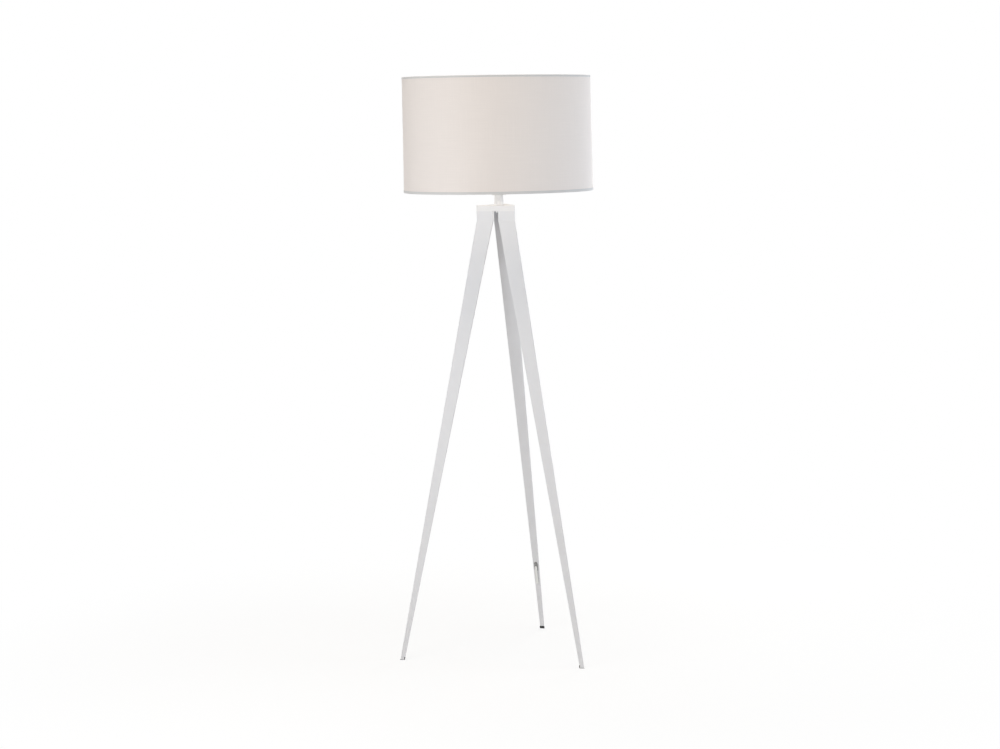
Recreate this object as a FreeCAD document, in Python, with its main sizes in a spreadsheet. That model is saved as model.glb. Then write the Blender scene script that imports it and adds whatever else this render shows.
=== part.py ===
import FreeCAD, Part

import math
import os

# Tripod floor lamp with a fabric drum shade.
# Millimetres. The origin is on the tripod's axis at floor level, +Z up, the rear leg along +Y.
# All driving sizes are plain numbers in the sheet "dim"; everything else is worked out from them.

SIZES = {
    # whole lamp
    "overall_height": 1560,
    # shade
    "shade_height": 305,
    "shade_diameter": 505,
    "shade_taper": 5,
    "shade_drop": 10,
    "fabric_thickness": 0.9,
    "liner_thickness": 0.5,
    "layer_gap": 0.1,
    "trim_thickness": 0.4,
    "trim_top_height": 5,
    "trim_bottom_height": 7,
    "ring_wire": 3.2,
    "arm_wire": 4,
    "fitter_bore": 42,
    "fitter_diameter": 60,
    "fitter_thickness": 2,
    # lampholder
    "holder_diameter": 44,
    "holder_height": 32,
    "holder_wall": 2.4,
    "holder_floor": 3,
    "holder_chamfer": 3,
    "skirt_diameter": 39.4,
    "skirt_bore": 33,
    "skirt_height": 30,
    "skirt_flange_diameter": 48,
    "skirt_flange_thickness": 3,
    "thread_pitch": 2.5,
    "thread_depth": 0.5,
    "retainer_diameter": 57,
    "retainer_height": 8,
    "retainer_flange": 2,
    "retainer_clearance": 0.08,
    "grip_notch_diameter": 3,
    "insulator_thickness": 14,
    "insulator_ledge": 2,
    "shell_wall": 0.5,
    "shell_height": 25,
    "terminal_height": 8,
    "terminal_width": 6,
    "terminal_reach": 7.5,
    "terminal_screw_diameter": 3,
    "contact_width": 6,
    "contact_length": 17,
    "contact_thickness": 0.6,
    "contact_button_diameter": 7,
    "contact_travel": 0.3,
    # bulb
    "bulb_cap_diameter": 26.5,
    "bulb_cap_height": 21,
    "bulb_cap_clearance": 0.07,
    "bulb_cap_wall": 0.6,
    "bulb_base_gap": 3,
    "bulb_base_depth": 2,
    "bulb_tip_diameter": 8,
    "bulb_tip_thickness": 1.2,
    "bulb_neck_diameter": 28,
    "bulb_diameter": 60,
    "bulb_housing_height": 38,
    "bulb_globe_wall": 1.2,
    # neck and hub
    "neck_height": 26,
    "neck_top_diameter": 24,
    "neck_base_diameter": 26,
    "neck_wall": 1.5,
    "nipple_diameter": 10,
    "nipple_bore": 7.6,
    "nipple_clearance": 0.2,
    "nipple_reach": 9,
    "nut_flats": 14,
    "nut_thickness": 4,
    "washer_diameter": 18,
    "washer_thickness": 1,
    "spacer_diameter": 17,
    "hub_reach": 63.6,
    "cap_height": 16,
    "cap_wall": 2,
    "cap_top": 3,
    "cap_fold": 1.2,
    "hub_plate_thickness": 4,
    "hub_plate_clearance": 0.4,
    "end_plate_thickness": 5,
    "weld_gap": 0.05,
    "screw_diameter": 5,
    "screw_clearance": 0.25,
    "screw_head_diameter": 9.5,
    "screw_head_height": 2.8,
    "screw_socket_flats": 3,
    "screw_socket_depth": 1.6,
    "screw_spacing": 14,
    "screw_washer_diameter": 11,
    # legs
    "leg_width_top": 49.3,
    "leg_width_foot": 14.5,
    "leg_wall": 1.6,
    "bend_drop": 26,
    "foot_reach": 300.5,
    "pad_thickness": 1,
    "foot_inset": 0.2,
    "notch_height": 6.5,
    "plug_height": 22,
    "plug_clearance": 0.15,
    # supply lead and its ways in and out of the rear leg
    "lead_diameter": 5.4,
    "lead_turn_drop": 23,
    "lead_join_drop": 98,
    "lead_turn_radius": 40,
    "entry_drop": 68,
    "entry_length": 27,
    "entry_width": 9,
    "outlet_height": 187.7,
    "outlet_length": 27.5,
    "outlet_width": 9,
    "grommet_lip": 0.4,
    "grommet_proud": 0.7,
    "grommet_clearance": 0.1,
    "sleeve_diameter": 7.6,
    "sleeve_tip_diameter": 6.6,
    "sleeve_bore": 5.6,
    "sleeve_tail": 41,
    "sleeve_root": 18,
    "sleeve_angle": 30,
    "sleeve_offset": 1.4,
    "sleeve_standoff": 0.3,
    "sleeve_turn_share": 0.45,
    # one overrun serves every cut
    "overrun": 2,
}

REAR_ANGLE = 90
THIRD_ANGLE = 120
LEG_ANGLES = {
    "front_left": REAR_ANGLE + THIRD_ANGLE,
    "front_right": REAR_ANGLE - THIRD_ANGLE,
    "rear": REAR_ANGLE,
}
ARM_ANGLES = (30, 150, 270)
GRIP_NOTCHES = 24
SKIRT_THREAD_TURNS = 9
CAP_THREAD_TURNS = 6

doc = FreeCAD.newDocument("FloorLamp")
dim = doc.addObject("Spreadsheet::Sheet", "dim")
for row, (alias, size) in enumerate(SIZES.items(), start=1):
    dim.set(f"A{row}", alias)
    dim.set(f"B{row}", str(size))
    dim.setAlias(f"B{row}", alias)
doc.recompute()

probe = doc.addObject("App::FeaturePython", "probe")
probe.addProperty("App::PropertyFloat", "Result")

pieces = []


def number(expression):
    """The value that an expression of the sheet has now."""
    probe.setExpression("Result", expression)
    probe.recompute()
    return probe.Result


def piece(label, thing):
    """Keeps an object as a finished piece of the lamp, under its own label."""
    thing.Label = label
    pieces.append(thing)
    return thing


def place(thing, x="0", y="0", z="0"):
    """Binds an object's place to expressions of the sheet."""
    thing.setExpression("Placement.Base.x", x)
    thing.setExpression("Placement.Base.y", y)
    thing.setExpression("Placement.Base.z", z)
    return thing


def turn(thing, axis, angle):
    """Binds an object's turn about an axis through its own base."""
    thing.Placement.Rotation = FreeCAD.Rotation(axis, 1)
    thing.setExpression("Placement.Rotation.Angle", angle)
    return thing


def cylinder(name, radius, height, x="0", y="0", z="0"):
    thing = doc.addObject("Part::Cylinder", name)
    thing.setExpression("Radius", radius)
    thing.setExpression("Height", height)
    return place(thing, x, y, z)


def cone(name, low_radius, top_radius, height, x="0", y="0", z="0"):
    thing = doc.addObject("Part::Cone", name)
    thing.setExpression("Radius1", low_radius)
    thing.setExpression("Radius2", top_radius)
    thing.setExpression("Height", height)
    return place(thing, x, y, z)


def box(name, length, width, height, x="0", y="0", z="0"):
    """A block centred on its x and y, standing on its z."""
    thing = doc.addObject("Part::Box", name)
    thing.setExpression("Length", length)
    thing.setExpression("Width", width)
    thing.setExpression("Height", height)
    return place(thing, f"{x} - ({length}) / 2", f"{y} - ({width}) / 2", z)


def prism(name, sides, radius, height, x="0", y="0", z="0"):
    thing = doc.addObject("Part::Prism", name)
    thing.Polygon = sides
    thing.setExpression("Circumradius", radius)
    thing.setExpression("Height", height)
    return place(thing, x, y, z)


def torus(name, radius, wire_radius, z):
    thing = doc.addObject("Part::Torus", name)
    thing.setExpression("Radius1", radius)
    thing.setExpression("Radius2", wire_radius)
    return place(thing, z=z)


def fuse(name, *things):
    thing = doc.addObject("Part::MultiFuse", name)
    thing.Shapes = list(things)
    return thing


def cut(name, base, *tools):
    thing = doc.addObject("Part::Cut", name)
    thing.Base = base
    thing.Tool = tools[0] if len(tools) == 1 else fuse(f"{name}_tools", *tools)
    return thing


def common(name, one, other):
    thing = doc.addObject("Part::Common", name)
    thing.Base = one
    thing.Tool = other
    return thing


def group(name, *things):
    thing = doc.addObject("Part::Compound", name)
    thing.Links = list(things)
    return thing


def turned(name, thing, angle):
    """A copy turned about the lamp's own axis."""
    copy = group(name, thing)
    copy.Placement = FreeCAD.Placement(FreeCAD.Vector(), FreeCAD.Rotation(FreeCAD.Vector(0, 0, 1), angle))
    return copy


def tube(name, radius, bore_radius, height, z):
    """A straight tube on the lamp's axis."""
    blank = cylinder(f"{name}_blank", radius, height, z=z)
    bore = cylinder(f"{name}_bore", bore_radius, f"{height} + 2 * dim.overrun", z=f"{z} - dim.overrun")
    return cut(name, blank, bore)


def rounded(name, base, radius, wanted):
    """A body whose edges that are wanted get a fold radius."""
    body = doc.addObject("PartDesign::Body", name)
    body.BaseFeature = base
    doc.recompute()
    start = body.Tip
    edges = [f"Edge{i}" for i, edge in enumerate(start.Shape.Edges, start=1) if wanted(edge)]
    fold = body.newObject("PartDesign::Fillet", f"{name}_fold")
    fold.Base = (start, edges)
    fold.setExpression("Radius", radius)
    return body


def climbs(edge):
    """True for an edge that runs up the piece, not round one of its ends."""
    return edge.BoundBox.ZLength > edge.Length / 2


# Heights, from the floor up.
FOOT = "dim.pad_thickness"
SHADE_BOTTOM = "(dim.overall_height - dim.shade_height)"
NECK_TOP = f"({SHADE_BOTTOM} - dim.shade_drop)"
CAP_TOP = f"({NECK_TOP} - dim.neck_height)"
LEG_TOP = f"({CAP_TOP} - dim.cap_height)"
BEND = f"({LEG_TOP} - dim.bend_drop)"
HOLDER_RIM = f"({NECK_TOP} + dim.holder_height)"
SKIRT_SEAT = f"({HOLDER_RIM} + dim.skirt_flange_thickness)"
RETAINER_SEAT = f"({SKIRT_SEAT} + dim.fitter_thickness)"
LEDGE = f"({HOLDER_RIM} - dim.insulator_thickness)"
BULB_TIP = f"({HOLDER_RIM} + dim.bulb_base_gap)"
CAP_LOW = f"({BULB_TIP} + dim.bulb_tip_thickness + dim.bulb_base_depth)"
CAP_HIGH = f"({CAP_LOW} + dim.bulb_cap_height)"


# A leg is a triangular tube with its ridge outward. It is described with the ridge towards +X.
def leg_share(z):
    return f"(({BEND} - ({z})) / ({BEND} - {FOOT}))"


def leg_width(z):
    return f"(dim.leg_width_top + (dim.leg_width_foot - dim.leg_width_top) * {leg_share(z)})"


def leg_ridge(z):
    return f"(dim.hub_reach + (dim.foot_reach - dim.hub_reach) * {leg_share(z)})"


def leg_centre(z):
    return f"({leg_ridge(z)} - {leg_width(z)} / sqrt(3))"


def leg_inner_face(z):
    return f"({leg_ridge(z)} - {leg_width(z)} * sqrt(3) / 2)"


FACE_TILT = f"atan(({leg_inner_face(FOOT)} - {leg_inner_face(BEND)}) / ({BEND} - {FOOT}))"


def leg_section(name, z, inset):
    """The leg's triangle at a height, drawn in by an inset on each side."""
    section = doc.addObject("Part::RegularPolygon", name)
    section.Polygon = 3
    section.setExpression("Circumradius", f"{leg_width(z)} / sqrt(3) - 2 * ({inset})")
    return place(section, leg_centre(z), z=z)


def top_section(name, z, inset):
    """The same triangle in the upright stretch over the bend."""
    section = doc.addObject("Part::RegularPolygon", name)
    section.Polygon = 3
    section.setExpression("Circumradius", f"{leg_width(BEND)} / sqrt(3) - 2 * ({inset})")
    return place(section, leg_centre(BEND), z=z)


def loft(name, *sections):
    thing = doc.addObject("Part::Loft", name)
    thing.Sections = list(sections)
    thing.Solid = True
    thing.Ruled = True
    return thing


def leg_solid(name, low, high, inset):
    """The tapered stretch between two heights."""
    return loft(name, leg_section(f"{name}_low", low, inset), leg_section(f"{name}_high", high, inset))


def leg_bent_sections(name, low, high, inset):
    """The triangles of the tapered stretch and of the upright stretch over it."""
    return [
        leg_section(f"{name}_low", low, inset),
        leg_section(f"{name}_bend", BEND, inset),
        top_section(f"{name}_high", high, inset),
    ]


def folded(name, section, radius):
    """A section grown by a radius, with its corners rounded to that radius."""
    thing = doc.addObject("Part::Offset2D", name)
    thing.Source = section
    thing.setExpression("Value", radius)
    return thing


def face_slot(name, length, width, depth, z):
    """A slot with round ends, square to the leg's inner face at a height."""
    middle = box(f"{name}_middle", depth, width, f"{length} - ({width})", z=f"-({length} - ({width})) / 2")
    ends = []
    for end, sign in (("upper", "1"), ("lower", "-1")):
        bore = cylinder(f"{name}_{end}", f"({width}) / 2", depth)
        place(bore, f"-({depth}) / 2", z=f"{sign} * ({length} - ({width})) / 2")
        ends.append(turn(bore, FreeCAD.Vector(0, 1, 0), "90"))
    slot = fuse(name, middle, *ends)
    place(slot, leg_inner_face(z), z=z)
    return turn(slot, FreeCAD.Vector(0, -1, 0), FACE_TILT)


NOTCH_TOP = f"({FOOT} + dim.notch_height)"
ENTRY = f"({LEG_TOP} - dim.entry_drop)"
LEAD_TURN = f"({LEG_TOP} - dim.lead_turn_drop)"
LEAD_JOIN = f"({LEG_TOP} - dim.lead_join_drop)"


def notch_zone(name, height, depth, low):
    """The space of the inner wall just over the floor, where the foot's lip shows."""
    reach = f"({leg_inner_face(NOTCH_TOP)} - 2 * dim.overrun + ({depth}))"
    width = "2 * dim.leg_width_foot"
    length = f"(2 * dim.overrun + {leg_inner_face(FOOT)} - {leg_inner_face(NOTCH_TOP)})"
    return box(name, length, width, height, x=f"{reach} + {length} / 2", z=low)


def make_leg(side, angle):
    rims = leg_bent_sections(f"{side}_inner", FOOT, LEG_TOP, "dim.leg_wall")
    skin = loft(f"{side}_skin", *[folded(f"{rim.Name}_fold", rim, "dim.leg_wall") for rim in rims])
    low = f"({FOOT} - dim.overrun)"
    high = f"({LEG_TOP} + dim.overrun)"
    tools = [loft(f"{side}_bore", *leg_bent_sections(f"{side}_bore", low, high, "dim.leg_wall"))]
    tools.append(notch_zone(f"{side}_notch", f"{NOTCH_TOP} - {low}", "dim.leg_wall", low))
    if side == "rear":
        depth = "2 * dim.leg_wall + 2 * dim.overrun"
        tools.append(face_slot("entry_slot", "dim.entry_length", "dim.entry_width", depth, ENTRY))
        tools.append(face_slot("outlet_slot", "dim.outlet_length", "dim.outlet_width", depth,
                               "dim.outlet_height"))
    shell = cut(f"{side}_tube", skin, *tools)
    return piece(f"leg_{side}", turned(f"leg_{side}", shell, angle))


def make_foot(side, angle):
    """A black plug in the leg's end: a pad under the steel, a lip in the notch and a core."""
    core_inset = "dim.leg_wall + dim.plug_clearance"
    core_top = f"({FOOT} + dim.plug_height)"
    core = leg_solid(f"{side}_plug_core", "0", core_top, core_inset)
    pad = leg_solid(f"{side}_pad", "0", FOOT, "dim.foot_inset")
    lip_top = f"({NOTCH_TOP} - dim.plug_clearance)"
    lip_body = leg_solid(f"{side}_lip_body", FOOT, lip_top, "dim.foot_inset")
    zone = notch_zone(f"{side}_lip_zone", f"{lip_top} - {FOOT}", "dim.leg_wall - dim.plug_clearance", FOOT)
    lip = common(f"{side}_lip", lip_body, zone)
    plug = fuse(f"{side}_plug", core, pad, lip)
    return piece(f"foot_{side}", turned(f"foot_{side}", plug, angle))


SCREW_X = leg_centre(BEND)
END_PLATE_LOW = f"({LEG_TOP} - dim.end_plate_thickness)"
HUB_PLATE_TOP = f"({LEG_TOP} + dim.hub_plate_thickness)"
SCREW_SEAT = f"({HUB_PLATE_TOP} + dim.washer_thickness)"
SCREW_SIDES = {"left": "dim.screw_spacing / 2", "right": "-dim.screw_spacing / 2"}


def screw_pair(name, radius, height, z):
    """Two upright cylinders at the places of one leg's screws."""
    return [cylinder(f"{name}_{side}", radius, height, SCREW_X, y, z) for side, y in SCREW_SIDES.items()]


def make_end_plate(side, angle):
    inset = "dim.leg_wall + dim.weld_gap"
    blank = loft(
        f"{side}_end_blank",
        top_section(f"{side}_end_low", END_PLATE_LOW, inset),
        top_section(f"{side}_end_high", LEG_TOP, inset),
    )
    height = "dim.end_plate_thickness + 2 * dim.overrun"
    holes = screw_pair(f"{side}_tapped", "dim.screw_diameter / 2", height, f"{END_PLATE_LOW} - dim.overrun")
    plate = cut(f"{side}_end_drilled", blank, *holes)
    return piece(f"end_plate_{side}", turned(f"end_plate_{side}", plate, angle))


def three_ways(name, things):
    """The same things at all three legs, as one group of separate solids."""
    return group(name, *[turned(f"{name}_{side}", group(f"{name}_{side}_set", *things), angle)
                         for side, angle in LEG_ANGLES.items()])


def make_screws():
    shanks = screw_pair("shank", "dim.screw_diameter / 2", f"{SCREW_SEAT} - {END_PLATE_LOW}", END_PLATE_LOW)
    heads = screw_pair("head", "dim.screw_head_diameter / 2", "dim.screw_head_height", SCREW_SEAT)
    socket_z = f"{SCREW_SEAT} + dim.screw_head_height - dim.screw_socket_depth"
    screws = []
    for shank, head, (side, y) in zip(shanks, heads, SCREW_SIDES.items()):
        flats = "dim.screw_socket_flats / sqrt(3)"
        socket = prism(f"socket_{side}", 6, flats, "2 * dim.screw_socket_depth", SCREW_X, y, socket_z)
        screws.append(cut(f"screw_{side}", fuse(f"screw_blank_{side}", shank, head), socket))
    return piece("leg_screws", three_ways("leg_screws", screws))


def make_screw_washers():
    hole = "dim.screw_diameter / 2 + dim.screw_clearance"
    discs = screw_pair("washer_disc", "dim.screw_washer_diameter / 2", "dim.washer_thickness", HUB_PLATE_TOP)
    height = "dim.washer_thickness + 2 * dim.overrun"
    holes = screw_pair("washer_hole", hole, height, f"{HUB_PLATE_TOP} - dim.overrun")
    washers = [cut(f"washer_{side}", disc, bore) for disc, bore, side in zip(discs, holes, SCREW_SIDES)]
    return piece("screw_washers", three_ways("screw_washers", washers))


NIPPLE_HOLE = "dim.nipple_diameter / 2 + dim.nipple_clearance"


def make_hub_plate():
    """The steel plate that all three legs are screwed to, hidden in the cap."""
    radius = "dim.hub_reach - 2 * (dim.cap_wall + dim.hub_plate_clearance)"
    blank = prism("hub_plate_blank", 3, radius, "dim.hub_plate_thickness", z=LEG_TOP)
    height = "dim.hub_plate_thickness + 2 * dim.overrun"
    low = f"{LEG_TOP} - dim.overrun"
    hole = "dim.screw_diameter / 2 + dim.screw_clearance"
    drills = three_ways("hub_drills", screw_pair("hub_drill", hole, height, low))
    centre = cylinder("hub_plate_centre", NIPPLE_HOLE, height, z=low)
    plate = cut("hub_plate_drilled", turned("hub_plate_turned", blank, REAR_ANGLE), drills, centre)
    return piece("hub_plate", plate)


def make_hub_cap():
    """The triangular cover with sharp corners over the legs."""
    blank = prism("cap_blank", 3, "dim.hub_reach", "dim.cap_height")
    body = rounded("cap_skin", blank, "dim.leg_wall", climbs)
    place(body, z=LEG_TOP)
    doc.recompute()
    start = body.Tip
    middle = number("dim.cap_height / 2")
    rim = [f"Edge{i}" for i, edge in enumerate(start.Shape.Edges, start=1)
           if min(vertex.Z for vertex in edge.Vertexes) > middle]
    fold = body.newObject("PartDesign::Fillet", "cap_rim_fold")
    fold.Base = (start, rim)
    fold.setExpression("Radius", "dim.cap_fold")
    hollow_height = "dim.cap_height - dim.cap_top + dim.overrun"
    low = f"{LEG_TOP} - dim.overrun"
    hollow = prism("cap_hollow", 3, "dim.hub_reach - 2 * dim.cap_wall", hollow_height, z=low)
    centre = cylinder("cap_centre", NIPPLE_HOLE, "dim.cap_height + 2 * dim.overrun", z=low)
    shell = cut("cap_shell", body, hollow, centre)
    return piece("hub_cap", turned("hub_cap", shell, REAR_ANGLE))


NUT_RADIUS = "dim.nut_flats / sqrt(3)"
NUT_LOW = f"({LEG_TOP} - dim.washer_thickness - dim.nut_thickness)"
NIPPLE_LOW = f"({LEG_TOP} - dim.nipple_reach)"
HOLDER_NUT = f"({NECK_TOP} + dim.holder_floor)"
NIPPLE_TOP = f"({HOLDER_NUT} + dim.nut_thickness)"


def threaded_nut(name, z):
    blank = prism(f"{name}_blank", 6, NUT_RADIUS, "dim.nut_thickness", z=z)
    height = "dim.nut_thickness + 2 * dim.overrun"
    bore = cylinder(f"{name}_thread", "dim.nipple_diameter / 2", height, z=f"{z} - dim.overrun")
    return piece(name, cut(name, blank, bore))


def make_nipple_stack():
    """The hollow threaded rod through hub and neck, with what it clamps."""
    length = f"{NIPPLE_TOP} - {NIPPLE_LOW}"
    piece("threaded_nipple", tube("threaded_nipple", "dim.nipple_diameter / 2", "dim.nipple_bore / 2",
                                  length, NIPPLE_LOW))
    threaded_nut("hub_nut", NUT_LOW)
    threaded_nut("holder_nut", HOLDER_NUT)
    piece("hub_washer", tube("hub_washer", "dim.washer_diameter / 2", NIPPLE_HOLE, "dim.washer_thickness",
                             f"{LEG_TOP} - dim.washer_thickness"))
    piece("hub_spacer", tube("hub_spacer", "dim.spacer_diameter / 2", NIPPLE_HOLE,
                             "dim.cap_height - dim.cap_top - dim.hub_plate_thickness", HUB_PLATE_TOP))


def make_neck():
    """The short conical sleeve that shows between the hub and the shade."""
    blank = cone("neck_blank", "dim.neck_base_diameter / 2", "dim.neck_top_diameter / 2", "dim.neck_height",
                 z=CAP_TOP)
    bore = cone("neck_bore", "dim.neck_base_diameter / 2 - dim.neck_wall",
                "dim.neck_top_diameter / 2 - dim.neck_wall", "dim.neck_height", z=CAP_TOP)
    return piece("neck_sleeve", cut("neck_sleeve", blank, bore))


def make_holder_base():
    """The lampholder's cup, with a ledge inside that carries the insulator."""
    low = cone("base_chamfer", "dim.holder_diameter / 2 - dim.holder_chamfer", "dim.holder_diameter / 2",
               "dim.holder_chamfer", z=NECK_TOP)
    side = cylinder("base_side", "dim.holder_diameter / 2", "dim.holder_height - dim.holder_chamfer",
                    z=f"{NECK_TOP} + dim.holder_chamfer")
    inner = "dim.holder_diameter / 2 - dim.holder_wall"
    seat = cylinder("base_seat", inner, "dim.insulator_thickness + dim.overrun", z=LEDGE)
    room_height = f"{LEDGE} - {NECK_TOP} - dim.holder_floor + dim.overrun"
    room = cylinder("base_room", f"{inner} - dim.insulator_ledge", room_height,
                    z=f"{NECK_TOP} + dim.holder_floor")
    hole = cylinder("base_hole", NIPPLE_HOLE, "dim.holder_height", z=f"{NECK_TOP} - dim.overrun")
    return piece("lampholder_base", cut("lampholder_base", fuse("base_blank", low, side), seat, room, hole))


SKIRT_TOP = f"({SKIRT_SEAT} + dim.skirt_height)"


def make_skirt():
    """The lampholder's upper shell: a flange that carries the shade, and a thread for its ring."""
    flange = cylinder("skirt_flange", "dim.skirt_flange_diameter / 2", "dim.skirt_flange_thickness",
                      z=HOLDER_RIM)
    shell = cylinder("skirt_shell", "dim.skirt_diameter / 2", "dim.skirt_height", z=SKIRT_SEAT)
    bore = cylinder("skirt_bore", "dim.skirt_bore / 2", "dim.skirt_height + dim.skirt_flange_thickness "
                    "+ 2 * dim.overrun", z=f"{HOLDER_RIM} - dim.overrun")
    grooves = []
    for step in range(SKIRT_THREAD_TURNS):
        z = f"{SKIRT_TOP} - dim.thread_pitch * {step + 1}"
        radius = "dim.skirt_diameter / 2 + dim.thread_depth * (sqrt(2) - 1)"
        grooves.append(torus(f"skirt_groove_{step}", radius, "dim.thread_depth", z))
    blank = fuse("skirt_blank", flange, shell)
    return piece("lampholder_skirt", cut("lampholder_skirt", blank, bore, *grooves))


def make_retainer():
    """The ring that screws down the skirt and clamps the shade's fitter."""
    radius = "dim.retainer_diameter / 2"
    bore_radius = "dim.skirt_diameter / 2 + dim.retainer_clearance"
    ring = tube("retainer_ring", radius, bore_radius, "dim.retainer_height", RETAINER_SEAT)
    notches = []
    low = f"{RETAINER_SEAT} + dim.retainer_flange"
    for step in range(GRIP_NOTCHES):
        angle = 360 * step / GRIP_NOTCHES
        x = f"{radius} * cos({angle} deg)"
        y = f"{radius} * sin({angle} deg)"
        notches.append(cylinder(f"grip_{step}", "dim.grip_notch_diameter / 2", "dim.retainer_height",
                                x, y, low))
    return piece("shade_retaining_ring", cut("shade_retaining_ring", ring, *notches))


SHELL_RADIUS = "(dim.bulb_cap_diameter / 2 + dim.bulb_cap_clearance)"


def make_insulator():
    radius = "dim.holder_diameter / 2 - dim.holder_wall - dim.layer_gap"
    disc = cylinder("insulator_disc", radius, "dim.insulator_thickness", z=LEDGE)
    holes = []
    for side, sign in (("left", "-1"), ("right", "1")):
        x = f"{sign} * dim.terminal_reach"
        holes.append(cylinder(f"insulator_hole_{side}", "dim.terminal_screw_diameter / 2",
                              "dim.insulator_thickness + 2 * dim.overrun", x=x, z=f"{LEDGE} - dim.overrun"))
    return piece("lampholder_insulator", cut("lampholder_insulator", disc, *holes))


def make_contacts():
    """The brass screw shell, the springy centre contact, and the terminals under the insulator."""
    piece("screw_shell", tube("screw_shell", f"{SHELL_RADIUS} + dim.shell_wall", SHELL_RADIUS,
                              "dim.shell_height", HOLDER_RIM))
    strip = box("contact_strip", "dim.contact_length", "dim.contact_width", "dim.contact_thickness",
                z=HOLDER_RIM)
    button_height = "dim.bulb_base_gap - dim.contact_travel"
    button = cylinder("contact_button", "dim.contact_button_diameter / 2", button_height, z=HOLDER_RIM)
    terminals = []
    screws = []
    low = f"({LEDGE} - dim.terminal_height)"
    radius = "dim.terminal_screw_diameter / 2"
    for side, sign in (("left", "-1"), ("right", "1")):
        x = f"{sign} * dim.terminal_reach"
        block = box(f"terminal_block_{side}", "dim.terminal_width", "dim.terminal_height",
                    "dim.terminal_height", x=x, z=low)
        tapped = cylinder(f"terminal_tap_{side}", radius, "dim.terminal_height + 2 * dim.overrun", x=x,
                          z=f"{low} - dim.overrun")
        terminals.append(cut(f"terminal_{side}", block, tapped))
        screws.append(cylinder(f"terminal_screw_{side}", radius, f"{HOLDER_RIM} - {low}", x=x, z=low))
    piece("centre_contact", fuse("centre_contact", strip, button))
    piece("wire_terminals", group("wire_terminals", *terminals))
    piece("terminal_screws", group("terminal_screws", *screws))


def make_bulb():
    """A screw-base bulb: tip, black base, threaded cap, housing and globe."""
    tip = cylinder("bulb_tip", "dim.bulb_tip_diameter / 2", "dim.bulb_tip_thickness", z=BULB_TIP)
    piece("bulb_contact_tip", tip)
    base = cone("bulb_base", "dim.bulb_tip_diameter / 2", "dim.bulb_cap_diameter / 2 - dim.bulb_cap_wall",
                "dim.bulb_base_depth", z=f"{BULB_TIP} + dim.bulb_tip_thickness")
    piece("bulb_base_insulator", base)
    cap = cylinder("bulb_cap", "dim.bulb_cap_diameter / 2", "dim.bulb_cap_height", z=CAP_LOW)
    grooves = []
    for step in range(CAP_THREAD_TURNS):
        z = f"{CAP_LOW} + dim.thread_pitch * {step + 1}"
        radius = "dim.bulb_cap_diameter / 2 + dim.thread_depth * (sqrt(2) - 1)"
        grooves.append(torus(f"bulb_groove_{step}", radius, "dim.thread_depth", z))
    piece("bulb_screw_cap", cut("bulb_screw_cap", cap, *grooves))
    housing = cone("bulb_housing", "dim.bulb_neck_diameter / 2", "dim.bulb_diameter / 2",
                   "dim.bulb_housing_height", z=CAP_HIGH)
    piece("bulb_housing", housing)
    centre = f"({CAP_HIGH} + dim.bulb_housing_height)"
    ball = doc.addObject("Part::Sphere", "globe_ball")
    ball.setExpression("Radius", "dim.bulb_diameter / 2")
    place(ball, z=centre)
    hollow = doc.addObject("Part::Sphere", "globe_hollow")
    hollow.setExpression("Radius", "dim.bulb_diameter / 2 - dim.bulb_globe_wall")
    place(hollow, z=centre)
    lower_half = box("globe_lower_half", "2 * dim.bulb_diameter", "2 * dim.bulb_diameter",
                     "dim.bulb_diameter", z=f"{centre} - dim.bulb_diameter")
    piece("bulb_globe", cut("bulb_globe", ball, hollow, lower_half))


def shade_radius(z):
    """The fabric's outer radius at a height."""
    share = f"(({z} - {SHADE_BOTTOM}) / dim.shade_height)"
    return f"((dim.shade_diameter - dim.shade_taper * {share}) / 2)"


def shade_layer(name, inset, thickness, low, high):
    """A conical wall of the shade, an inset inside the outline."""
    height = f"({high}) - ({low})"
    low_radius = shade_radius(low)
    high_radius = shade_radius(high)
    blank = cone(f"{name}_blank", f"{low_radius} - ({inset})", f"{high_radius} - ({inset})", height, z=low)
    deeper = f"({inset}) + ({thickness})"
    bore = cone(f"{name}_bore", f"{low_radius} - ({deeper})", f"{high_radius} - ({deeper})", height, z=low)
    return cut(name, blank, bore)


SHADE_LOW = f"({SHADE_BOTTOM} + dim.trim_thickness + dim.layer_gap)"
SHADE_HIGH = "(dim.overall_height - dim.trim_thickness - dim.layer_gap)"
OUTER_SKIN = "dim.trim_thickness + dim.layer_gap"
WALL = "(dim.fabric_thickness + dim.layer_gap + dim.liner_thickness)"


def make_shade_wall():
    fabric = shade_layer("shade_fabric", OUTER_SKIN, "dim.fabric_thickness", SHADE_LOW, SHADE_HIGH)
    piece("shade_fabric", fabric)
    liner_inset = f"{OUTER_SKIN} + dim.fabric_thickness + dim.layer_gap"
    liner = shade_layer("shade_liner", liner_inset, "dim.liner_thickness", SHADE_LOW, SHADE_HIGH)
    piece("shade_liner", liner)


def make_trim(name, low, height, wall_low):
    """A folded tape over one edge of the shade wall."""
    high = f"({low} + {height})"
    width = f"2 * {OUTER_SKIN} + {WALL}"
    blank = shade_layer(f"{name}_blank", "0", width, low, high)
    room_width = f"{WALL} + 2 * dim.layer_gap"
    room_high = f"({wall_low} + {height})"
    room = shade_layer(f"{name}_room", "dim.trim_thickness", room_width, wall_low, room_high)
    return piece(name, cut(name, blank, room))


RING_INSET = f"(2 * {OUTER_SKIN} + {WALL} + dim.layer_gap + dim.ring_wire / 2)"
LOW_RING = f"({SHADE_BOTTOM} + dim.ring_wire / 2 + dim.layer_gap)"
HIGH_RING = "(dim.overall_height - dim.ring_wire / 2 - dim.layer_gap)"
ARM_HUB = f"({SKIRT_SEAT} + dim.fitter_thickness / 2)"


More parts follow.
